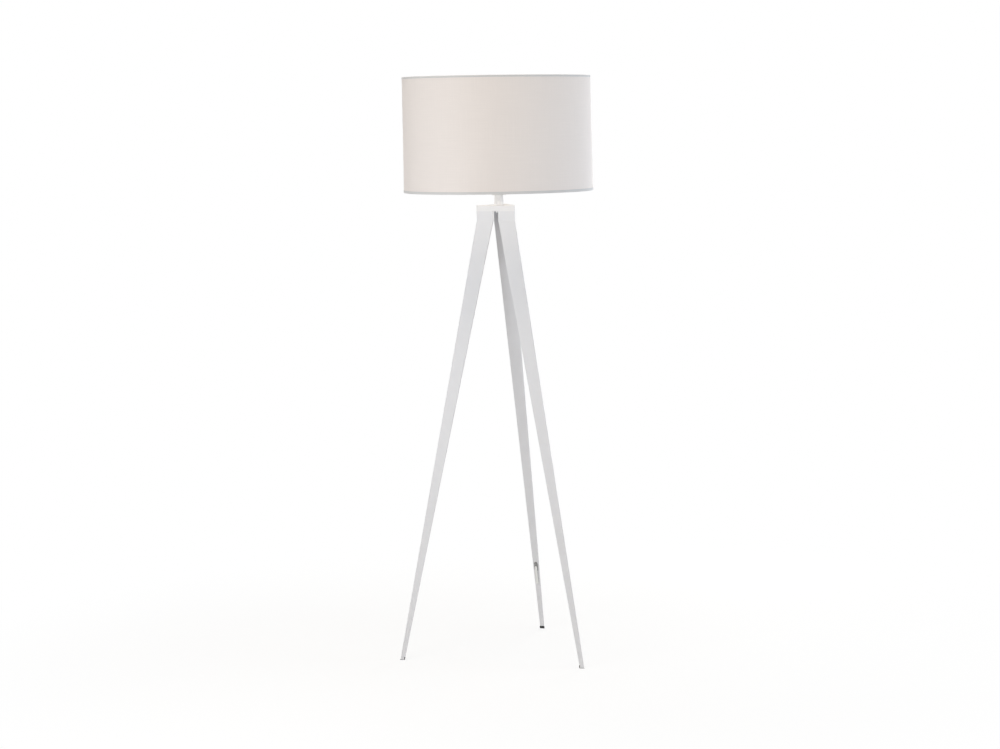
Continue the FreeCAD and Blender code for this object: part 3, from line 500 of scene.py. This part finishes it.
def globe_material(name):
    """Opal plastic globe, satin outside."""
    material, net, shader, _ = new_material(name)
    grain = net.group(shared("grain"), grain_size=0.6 * MILLIMETRE, cloud_size=30 * MILLIMETRE)
    cloud = net.spread(grain["Cloud"], 0.3, 0.7)
    darker = plain((0.83, 0.83, 0.81))
    lighter = plain((0.87, 0.87, 0.85))
    net.feed(shader["Base Color"], net.blend(cloud, darker, lighter))
    net.feed(shader["Roughness"], net.spread(grain["Cloud"], 0.2, 0.8, to_low=0.24, to_high=0.34))
    shader["Subsurface Weight"].default_value = 0.35
    shader["Subsurface Radius"].default_value = (0.004, 0.004, 0.0035)
    shader["Subsurface Scale"].default_value = 1.0
    net.feed(shader["Normal"], net.bump(grain["Height"], strength=0.15, distance=0.01 * MILLIMETRE))
    return material


def dress(material, *names):
    """Gives carried-over solids a finish."""
    for name in names:
        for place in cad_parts[name].material_slots:
            place.material = material


# Meshes.


def new_piece(name, points, faces, material, sharp_angle=40.0):
    """A smooth-shaded mesh piece with outward normals."""
    mesh = bpy.data.meshes.new(name)
    mesh.from_pydata(points, [], faces)
    shaped = bmesh.new()
    shaped.from_mesh(mesh)
    bmesh.ops.recalc_face_normals(shaped, faces=shaped.faces)
    shaped.to_mesh(mesh)
    shaped.free()
    mesh.polygons.foreach_set("use_smooth", [True] * len(mesh.polygons))
    mesh.set_sharp_from_angle(angle=math.radians(sharp_angle))
    mesh.materials.append(material)
    piece = bpy.data.objects.new(name, mesh)
    bpy.context.scene.collection.objects.link(piece)
    return piece


def swept_band(name, angles, rails_at, material, sharp_angle=40.0):
    """A band wound round the lamp's axis. rails_at gives the outer and inner rail of the section at an
    angle: two lists of (radius, height), of the same length."""
    points = []
    faces = []
    for angle in angles:
        outer, inner = rails_at(angle)
        ring = outer + inner[::-1]
        points.extend((r * math.cos(angle), r * math.sin(angle), z) for r, z in ring)
    around = len(ring)
    for column in range(len(angles) - 1):
        start = column * around
        for k in range(around):
            after = (k + 1) % around
            faces.append((start + k, start + after, start + around + after, start + around + k))
    for start, turned in ((0, False), ((len(angles) - 1) * around, True)):
        for k in range(around // 2 - 1):
            quad = (start + k, start + around - 1 - k, start + around - 2 - k, start + k + 1)
            faces.append(quad[::-1] if turned else quad)
    return new_piece(name, points, faces, material, sharp_angle)


def wall_radius(z):
    """Outer radius of the shade's rim tapes, and of the whole shade's outline, at a height."""
    return BOTTOM_TRIM_HIGH.x - SHADE_TAPER * (z - BOTTOM_TRIM_LOW.z)


def lap_columns(start, radius, lap):
    """Angles of a strip wound once round with a lap, finer where the end climbs over the start, and how
    far up the climb an angle is."""
    turn = math.tau
    extra = lap / radius
    ramp = CLIMB_LENGTH / radius
    even = [start + (turn - ramp) * i / COLUMNS_ROUND for i in range(COLUMNS_ROUND)]
    fine = [start + turn - ramp + ramp * i / CLIMB_STEPS for i in range(CLIMB_STEPS)]
    over = [start + turn + extra * i / LAP_STEPS for i in range(LAP_STEPS + 1)]
    return even + fine + over, lambda angle: smooth_step((angle - start - turn + ramp) / ramp)


def smooth_step(share):
    share = min(1.0, max(0.0, share))
    return share * share * (3 - 2 * share)


# Pieces of the lamp.


class LAMP_OT_shade_cloth(bpy.types.Operator):
    """Builds the drum shade's cloth as one strip with its ends lapped and glued at the back"""

    bl_idname = "lamp.shade_cloth"
    bl_label = "Shade Cloth"

    def execute(self, context):
        shade = context.scene.lamp_shade
        finish = context.scene.lamp_finish
        low = FABRIC_LOW.z
        high = FABRIC_HIGH.z
        rows_up = 40
        held_edge = 35 * MILLIMETRE
        glue = 0.03 * MILLIMETRE
        slack_waves = 7
        fewest_round = 5
        most_round = 17
        most_lean = 4
        weakest_share = 0.5
        rows = [low + (high - low) * j / rows_up for j in range(rows_up + 1)]
        angles, climb = lap_columns(shade.lap_azimuth, wall_radius(low), shade.lap_width)
        drawn = random.Random(11)
        tensions = []
        for _ in range(slack_waves):
            count = drawn.randint(fewest_round, most_round)
            phase = drawn.uniform(0, math.tau)
            lean = drawn.uniform(-most_lean, most_lean)
            tensions.append((count, phase, lean, drawn.uniform(weakest_share, 1)))
        whole = sum(share for *_, share in tensions)

        def wave(angle, z):
            held = min(smooth_step((z - low) / held_edge), smooth_step((high - z) / held_edge))
            swing = sum(share * math.sin(count * angle + phase + lean * (z - low) / (high - low))
                        for count, phase, lean, share in tensions) / whole
            return -shade.waviness * held * (0.5 - 0.5 * swing)

        def rails(angle):
            lift = climb(angle) * (shade.cloth_thickness + glue)
            outer = [(wall_radius(z) - shade.cloth_inset + lift + wave(angle, z), z) for z in rows]
            inner = [(r - shade.cloth_thickness, z) for r, z in outer]
            return outer, inner

        pitch = math.tau * wall_radius(low) / shade.threads_round
        material = cloth_material("Shade Cloth", finish.cloth, shade.threads_round, pitch,
                                  contrast=0.025, depth=0.10 * MILLIMETRE, sheen=0.10)
        cloth = swept_band("shade_cloth", angles, rails, material)
        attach(cloth, "shade")
        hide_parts("shade_fabric")
        return {"FINISHED"}


def tape_rails(shade, edge, free_edge, lift, wobble):
    """Outer and inner rail of a tape folded over a rim, from its outer free edge to its inner one."""
    leg_steps = 4
    fold_steps = 6
    side = 1 if edge > free_edge else -1
    fold = shade.tape_fold
    shoulder = edge - side * fold
    start_z = free_edge + wobble
    legs = [start_z + (shoulder - free_edge - wobble) * i / leg_steps for i in range(leg_steps + 1)]
    path = [(wall_radius(z), z, 1.0, 0.0) for z in legs]
    outside = wall_radius(shoulder)
    inside = outside - shade.tape_width
    for centre, start in ((outside - fold, 0), (inside + fold, 90)):
        for step in range(1, fold_steps):
            angle = math.radians(start + 90 * step / fold_steps)
            path.append((centre + fold * math.cos(angle), shoulder + side * fold * math.sin(angle),
                         math.cos(angle), side * math.sin(angle)))
        if start == 0:
            path.append(((outside + inside) / 2, edge, 0.0, side))
    path.extend((wall_radius(z) - shade.tape_width, z, -1.0, 0.0) for z in reversed(legs))
    outer = [(r + lift * out, z + lift * up) for r, z, out, up in path]
    inner = [(r + (lift - shade.tape_thickness) * out, z + (lift - shade.tape_thickness) * up)
             for r, z, out, up in path]
    return outer, inner


class LAMP_OT_rim_tapes(bpy.types.Operator):
    """Builds the woven tapes folded over the shade's top and bottom rims"""

    bl_idname = "lamp.rim_tapes"
    bl_label = "Rim Tapes"

    def execute(self, context):
        shade = context.scene.lamp_shade
        finish = context.scene.lamp_finish
        # Piece, node, folded edge, free edge, where the tape starts, and its seed.
        rims = (
            ("rim_tape_top", "shade_top_trim", TOP_TRIM_HIGH.z, TOP_TRIM_LOW.z, math.radians(97), 5),
            ("rim_tape_bottom", "shade_bottom_trim", BOTTOM_TRIM_LOW.z, BOTTOM_TRIM_HIGH.z,
             math.radians(99), 6))
        pitch = 0.5 * MILLIMETRE
        middle_radius = wall_radius(0.5 * (TOP_TRIM_LOW.z + BOTTOM_TRIM_LOW.z))
        threads = 2 * round(math.tau * middle_radius / pitch / 2)
        # The tape's darker grey is painted shade on the rims.
        material = cloth_material("Rim Tape With Painted Shade", finish.tape, threads, pitch,
                                  contrast=0.06, depth=0.12 * MILLIMETRE, sheen=0.2)
        lap = 9 * MILLIMETRE
        glue = 0.05 * MILLIMETRE
        edge_wobble = 0.22 * MILLIMETRE
        puff_height = 0.05 * MILLIMETRE
        bumps_per_radian = 14
        puffs_finer = 3
        noise_reach = 50
        seam_ramp = 6 * MILLIMETRE
        for name, node, edge, free_edge, start, seed in rims:
            angles, climb = lap_columns(start, wall_radius(edge), lap)
            seam_start = shade.lap_azimuth
            seam_end = seam_start + shade.lap_width / wall_radius(edge)
            uneven = random.Random(seed)
            offset = Vector((uneven.uniform(0, noise_reach), uneven.uniform(0, noise_reach), 0))

            def rails(angle):
                around = Vector((math.cos(angle), math.sin(angle), 0)) * bumps_per_radian
                wobble = edge_wobble * noise.noise(around + offset)
                over_seam = band_share(angle, seam_start, seam_end, seam_ramp / wall_radius(edge))
                puff = puff_height * noise.noise(around * puffs_finer + offset)
                lift = climb(angle) * (shade.tape_thickness + glue)
                lift += over_seam * shade.cloth_thickness + puff
                return tape_rails(shade, edge, free_edge, lift, wobble)

            tape = swept_band(name, angles, rails, material, sharp_angle=60.0)
            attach(tape, "shade")
            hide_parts(node)
        return {"FINISHED"}


def band_share(angle, start, end, ramp):
    """1 between two angles and 0 away from them, with soft sides, whichever turn the angle is on."""
    middle = (start + end) / 2
    away = abs((angle - middle + math.pi) % math.tau - math.pi)
    return smooth_step(1 - (away - (end - start) / 2) / ramp)


class LAMP_OT_shade_lining(bpy.types.Operator):
    """Finishes the stiff lining inside the shade"""

    bl_idname = "lamp.shade_lining"
    bl_label = "Shade Lining"

    def execute(self, context):
        dress(lining_material("Shade Lining", context.scene.lamp_finish.lining), "shade_liner")
        return {"FINISHED"}


def add_bead(shaped, place, along, size, seed):
    """A small rippled weld bead, drawn out along a direction."""
    lump_depth = 0.07
    lumps_across = 2.2
    ripple_depth = 0.03
    ripples_across = 9
    turn = Vector(along).normalized().to_track_quat("X", "Z").to_matrix().to_4x4()
    stretch = Matrix.Diagonal((*size, 1.0))
    made = bmesh.ops.create_icosphere(shaped, subdivisions=4, radius=1.0)
    for vertex in made["verts"]:
        lumps = lump_depth * noise.noise(vertex.co * lumps_across + Vector((seed, 0, 0)))
        ripples = ripple_depth * math.sin(ripples_across * vertex.co.y + seed)
        vertex.co = Matrix.Translation(place) @ turn @ stretch @ (vertex.co * (1 + lumps + ripples))


class LAMP_OT_shade_frame(bpy.types.Operator):
    """Finishes the shade's wire frame and adds the weld beads at the ends of its arms"""

    bl_idname = "lamp.shade_frame"
    bl_label = "Shade Frame"

    def execute(self, context):
        finish = context.scene.lamp_finish
        wire = paint_material("White Wire", finish.paint, dimple_size=0.9 * MILLIMETRE, scuffed=False)
        dress(wire, "shade_top_ring", "shade_bottom_ring", "shade_fitter_ring",
              "shade_arm_1", "shade_arm_2", "shade_arm_3")
        beside_arm = 1.9 * MILLIMETRE
        past_fitter = 0.5 * MILLIMETRE
        past_ring = 0.2 * MILLIMETRE
        short_of_ring = 0.3 * MILLIMETRE
        fitter_bead = (1.5 * MILLIMETRE, 1.0 * MILLIMETRE, 0.9 * MILLIMETRE)
        ring_bead = (1.6 * MILLIMETRE, 0.9 * MILLIMETRE, 1.1 * MILLIMETRE)
        fitter_height = (FITTER_LOW.z + FITTER_HIGH.z) / 2
        ring_height = (LOWER_RING_LOW.z + LOWER_RING_HIGH.z) / 2
        ring_inside = LOWER_RING_HIGH.x - (LOWER_RING_HIGH.z - LOWER_RING_LOW.z)
        shaped = bmesh.new()
        for seed, azimuth in enumerate(ARM_AZIMUTHS):
            out = Vector((math.cos(azimuth), math.sin(azimuth), 0))
            across = Vector((-out.y, out.x, 0))
            at_fitter = out * FITTER_HIGH.x + Vector((0, 0, fitter_height))
            at_ring = out * (ring_inside + past_ring) + Vector((0, 0, ring_height))
            for side in (-1, 1):
                offset = across * side * beside_arm
                add_bead(shaped, at_fitter + offset + out * past_fitter, across, fitter_bead, seed + side)
                add_bead(shaped, at_ring + offset - out * short_of_ring, across, ring_bead, seed + 7 * side)
        mesh = bpy.data.meshes.new("arm_welds")
        shaped.to_mesh(mesh)
        shaped.free()
        mesh.polygons.foreach_set("use_smooth", [True] * len(mesh.polygons))
        mesh.materials.append(wire)
        welds = bpy.data.objects.new("arm_welds", mesh)
        context.scene.collection.objects.link(welds)
        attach(welds, "shade")
        return {"FINISHED"}


class LAMP_OT_tripod(bpy.types.Operator):
    """Finishes the painted legs, and the hub cap and neck sleeve in lighter copies of their paint, which
    are painted light
    """

    bl_idname = "lamp.tripod"
    bl_label = "Tripod"

    def execute(self, context):
        finish = context.scene.lamp_finish
        dress(paint_material("White Powder Coat", finish.paint, dimple_size=1.6 * MILLIMETRE, scuffed=True),
              "leg_front_left", "leg_front_right", "leg_rear")
        # The hub cap's lighter copy of the paint is painted light.
        dress(paint_material("Hub Paint With Painted Light", finish.hub_paint_with_painted_light, dimple_size=1.6 * MILLIMETRE, scuffed=False),
              "hub_cap")
        # The neck sleeve's brighter paint is painted light against the shade's shadow.
        dress(paint_material("Neck Paint With Painted Light", finish.neck_paint_with_painted_light, dimple_size=1.2 * MILLIMETRE, scuffed=False),
              "neck_sleeve")
        return {"FINISHED"}


class LAMP_OT_feet(bpy.types.Operator):
    """Finishes the rubber feet"""

    bl_idname = "lamp.feet"
    bl_label = "Feet"

    def execute(self, context):
        dress(rubber_material("Black Rubber", context.scene.lamp_finish.rubber),
              "foot_front_left", "foot_front_right", "foot_rear")
        return {"FINISHED"}


class LAMP_OT_hub_hardware(bpy.types.Operator):
    """Finishes the steel plates, screws, washers, nuts and threaded nipple"""

    bl_idname = "lamp.hub_hardware"
    bl_label = "Hub Hardware"

    def execute(self, context):
        steel = metal_material("Zinc Plated Steel", dark=(0.50, 0.51, 0.52), light=(0.66, 0.67, 0.68),
                               roughness=0.38, line_pitch=0.5 * MILLIMETRE)
        dress(steel, "end_plate_front_left", "end_plate_front_right", "end_plate_rear", "leg_screws",
              "screw_washers", "hub_plate", "threaded_nipple", "hub_nut", "holder_nut", "hub_washer",
              "hub_spacer")
        return {"FINISHED"}


class LAMP_OT_lampholder(bpy.types.Operator):
    """Finishes the lampholder, its contacts and the shade's retaining ring"""

    bl_idname = "lamp.lampholder"
    bl_label = "Lampholder"

    def execute(self, context):
        finish = context.scene.lamp_finish
        plastic, *_ = moulded_material("White Plastic", finish.plastic, roughness=0.38,
                                       grain_size=0.35 * MILLIMETRE, depth=0.03 * MILLIMETRE)
        dress(plastic, "lampholder_base", "lampholder_skirt", "shade_retaining_ring", "bulb_housing")
        phenolic, *_ = moulded_material("Black Phenolic", (0.026, 0.022, 0.020), roughness=0.34,
                                        grain_size=0.5 * MILLIMETRE, depth=0.02 * MILLIMETRE,
                                        contrast=0.18)
        dress(phenolic, "lampholder_insulator", "bulb_base_insulator")
        brass = metal_material("Brass", dark=(0.60, 0.42, 0.19), light=(0.78, 0.60, 0.32),
                               roughness=0.28, line_pitch=0.3 * MILLIMETRE)
        dress(brass, "screw_shell", "centre_contact", "wire_terminals", "terminal_screws")
        return {"FINISHED"}


class LAMP_OT_bulb(bpy.types.Operator):
    """Finishes the bulb's tip, screw cap and globe"""

    bl_idname = "lamp.bulb"
    bl_label = "Bulb"

    def execute(self, context):
        aluminium = metal_material("Cap Aluminium", dark=(0.66, 0.66, 0.67), light=(0.80, 0.80, 0.81),
                                   roughness=0.32, line_pitch=0.35 * MILLIMETRE)
        dress(aluminium, "bulb_screw_cap", "bulb_contact_tip")
        dress(globe_material("Opal Globe"), "bulb_globe")
        return {"FINISHED"}


class LAMP_OT_supply_lead(bpy.types.Operator):
    """Finishes the supply lead inside the rear leg, and the grommet and sleeve of its way out"""

    bl_idname = "lamp.supply_lead"
    bl_label = "Supply Lead"

    def execute(self, context):
        finish = context.scene.lamp_finish
        sheath, *_ = moulded_material("Lead Sheath", finish.plastic, roughness=0.5,
                                      grain_size=0.8 * MILLIMETRE, depth=0.05 * MILLIMETRE,
                                      contrast=0.025, dust_amount=0.05)
        dress(sheath, "supply_lead", "cord_sleeve")
        dress(rubber_material("Grommet Rubber", finish.grommet), "outlet_grommet")
        return {"FINISHED"}


# Stage.


WHITE = (1.0, 1.0, 1.0, 1.0)
AMBIENT_COLOUR = (1.0, 0.975, 0.925, 1.0)
FLOOR_TONES = (0.955, 0.975)

# White covers FADE_LEAST of the floor's look up to FADE_START from the axis, and all of it past FADE_END.
FADE_START = 0.2
FADE_END = 1.7
FADE_LEAST = 0.74

# The camera's sensor, in millimetres, and how far it sees, in metres.
SENSOR_WIDTH = 36.0
FAR_VIEW = 60.0


def seen_directly(net):
    """1 for rays that show the backdrop: straight from the camera, mirrored or through glass."""
    path = net.node("ShaderNodeLightPath").outputs
    mirrored = net.math("MAXIMUM", path["Is Camera Ray"], path["Is Glossy Ray"])
    return net.math("MAXIMUM", mirrored, path["Is Transmission Ray"])


def build_world(stage):
    world = bpy.data.worlds.new("Studio")
    world.use_nodes = True
    world.node_tree.nodes.clear()
    net = Wiring(world.node_tree)
    soft = net.node("ShaderNodeBackground", {"Color": AMBIENT_COLOUR, "Strength": stage.ambient})
    white = net.node("ShaderNodeBackground", {"Color": WHITE, "Strength": 1.0})
    mix = net.node("ShaderNodeMixShader", {0: seen_directly(net), 1: soft.outputs[0], 2: white.outputs[0]})
    net.node("ShaderNodeOutputWorld", {"Surface": mix.outputs[0]})
    bpy.context.scene.world = world


def build_floor(stage):
    """A round pale floor that keeps the lamp's soft shadow and fades into the white backdrop."""
    shaped = bmesh.new()
    bmesh.ops.create_circle(shaped, cap_ends=True, segments=96, radius=stage.floor_radius)
    mesh = bpy.data.meshes.new("studio_floor")
    shaped.to_mesh(mesh)
    shaped.free()
    floor = bpy.data.objects.new("studio_floor", mesh)
    floor.location.z = -0.2 * MILLIMETRE
    bpy.context.scene.collection.objects.link(floor)
    material, net, shader, output = new_material("Studio Floor")
    place = net.place()
    axes = net.node("ShaderNodeSeparateXYZ", {0: place}).outputs
    square_x = net.math("POWER", axes["X"], 2.0)
    square_y = net.math("POWER", axes["Y"], 2.0)
    away = net.math("SQRT", net.math("ADD", square_x, square_y))
    cloud = net.noise(place, scale=3.0, detail=3.0)
    darker, lighter = (plain((tone,) * 3) for tone in FLOOR_TONES)
    net.feed(shader["Base Color"], net.blend(cloud, darker, lighter))
    shader["Roughness"].default_value = 0.9
    shader["Specular IOR Level"].default_value = 0.1
    white = net.node("ShaderNodeEmission", {"Color": WHITE, "Strength": 1.0})
    fade = net.spread(away, FADE_START, FADE_END, to_low=FADE_LEAST, smooth=True)
    share = net.math("MULTIPLY", fade, seen_directly(net))
    lit = output.inputs["Surface"].links[0].from_socket
    mix = net.node("ShaderNodeMixShader", {0: share, 1: lit, 2: white.outputs[0]})
    net.feed(output.inputs["Surface"], mix.outputs[0])
    mesh.materials.append(material)


def add_panel(name, azimuth, distance, height, aim_height, size, colour, added_light):
    """A square light panel at an angle round the lamp, aimed at its axis. added_light is the share of
    light that it adds to a white surface there that faces it."""
    lamp = bpy.data.lights.new(name, "AREA")
    lamp.shape = "SQUARE"
    lamp.size = size
    lamp.color = colour
    place = Vector((math.sin(azimuth) * distance, -math.cos(azimuth) * distance, height))
    aim = Vector((0, 0, aim_height)) - place
    lamp.energy = added_light * math.pi ** 2 * aim.length_squared
    panel = bpy.data.objects.new(name, lamp)
    panel.location = place
    panel.rotation_euler = aim.to_track_quat("-Z", "Y").to_euler()
    panel.visible_camera = False
    bpy.context.scene.collection.objects.link(panel)


def build_camera(stage):
    azimuth = stage.camera_azimuth
    heading = azimuth + stage.camera_yaw
    up = Vector((0, 0, 1))
    level = Vector((-math.sin(heading), math.cos(heading), 0))
    right = Vector((math.cos(heading), math.sin(heading), 0))
    ahead = level * math.cos(stage.camera_pitch) - up * math.sin(stage.camera_pitch)
    upright = up * math.cos(stage.camera_pitch) + level * math.sin(stage.camera_pitch)
    cosine = math.cos(stage.camera_roll)
    sine = math.sin(stage.camera_roll)
    rolled_right = right * cosine - upright * sine
    rolled_up = right * sine + upright * cosine
    turn = Matrix((rolled_right, rolled_up, -ahead)).transposed()
    place = Vector((math.sin(azimuth) * stage.camera_distance, -math.cos(azimuth) * stage.camera_distance,
                    stage.camera_height))
    data = bpy.data.cameras.new("photo_camera")
    data.sensor_width = SENSOR_WIDTH
    data.lens = stage.lens
    data.shift_x = stage.shift
    data.clip_end = FAR_VIEW
    camera = bpy.data.objects.new("photo_camera", data)
    camera.matrix_world = Matrix.Translation(place) @ turn.to_4x4()
    bpy.context.scene.collection.objects.link(camera)
    bpy.context.scene.camera = camera


class LAMP_OT_studio(bpy.types.Operator):
    """Sets up the pale floor, the soft light and the camera"""

    bl_idname = "lamp.studio"
    bl_label = "Studio"

    def execute(self, context):
        stage = context.scene.lamp_stage
        context.scene.view_settings.view_transform = "Standard"
        build_world(stage)
        build_floor(stage)
        front = stage.camera_azimuth
        add_panel("key_panel", front - math.radians(40), distance=2.0, height=1.15, aim_height=1.15,
                  size=1.0, colour=(0.91, 0.95, 1.0), added_light=stage.key)
        add_panel("right_panel", front + math.radians(76), distance=1.8, height=1.30, aim_height=1.30,
                  size=0.8, colour=(0.73, 0.85, 1.0), added_light=stage.right_fill)
        add_panel("rear_panel", front + math.radians(150), distance=2.4, height=0.70, aim_height=0.50,
                  size=1.0, colour=(0.96, 0.98, 1.0), added_light=stage.rear_fill)
        add_panel("left_rear_panel", front - math.radians(158), distance=2.4, height=0.90, aim_height=0.90,
                  size=1.0, colour=(1.0, 0.98, 0.95), added_light=stage.left_rear_fill)
        add_panel("ceiling_panel", front, distance=0.4, height=3.6, aim_height=0.0,
                  size=2.6, colour=(1.0, 0.90, 0.77), added_light=stage.overhead)
        build_camera(stage)
        return {"FINISHED"}


# Sidebar panel and start.


class LAMP_PT_pieces(bpy.types.Panel):
    """Lists the lamp's pieces and settings"""

    bl_idname = "LAMP_PT_pieces"
    bl_label = "Floor Lamp"
    bl_space_type = "VIEW_3D"
    bl_region_type = "UI"
    bl_category = "Floor Lamp"

    def draw(self, context):
        for step in STEPS:
            self.layout.operator(step.bl_idname, text=step.bl_label)
        for group in (context.scene.lamp_shade, context.scene.lamp_finish, context.scene.lamp_stage):
            box = self.layout.box()
            for name in group.bl_rna.properties.keys():
                if name not in ("rna_type", "name"):
                    box.prop(group, name)


STEPS = (
    LAMP_OT_tripod, LAMP_OT_feet, LAMP_OT_hub_hardware, LAMP_OT_lampholder, LAMP_OT_bulb,
    LAMP_OT_supply_lead, LAMP_OT_shade_lining, LAMP_OT_shade_frame, LAMP_OT_shade_cloth,
    LAMP_OT_rim_tapes, LAMP_OT_studio)
SETTINGS = {"lamp_shade": ShadeSettings, "lamp_finish": FinishSettings, "lamp_stage": StageSettings}


def register():
    for kind in (*SETTINGS.values(), *STEPS, LAMP_PT_pieces):
        bpy.utils.register_class(kind)
    for name, kind in SETTINGS.items():
        setattr(bpy.types.Scene, name, PointerProperty(type=kind))


def unregister():
    for name in SETTINGS:
        delattr(bpy.types.Scene, name)
    for kind in (LAMP_PT_pieces, *reversed(STEPS), *SETTINGS.values()):
        bpy.utils.unregister_class(kind)


def main():
    register()
    bpy.ops.lamp.tripod()
    bpy.ops.lamp.feet()
    bpy.ops.lamp.hub_hardware()
    bpy.ops.lamp.lampholder()
    bpy.ops.lamp.bulb()
    bpy.ops.lamp.supply_lead()
    bpy.ops.lamp.shade_lining()
    bpy.ops.lamp.shade_frame()
    bpy.ops.lamp.shade_cloth()
    bpy.ops.lamp.rim_tapes()
    bpy.ops.lamp.studio()


if __name__ == "__main__":
    main()
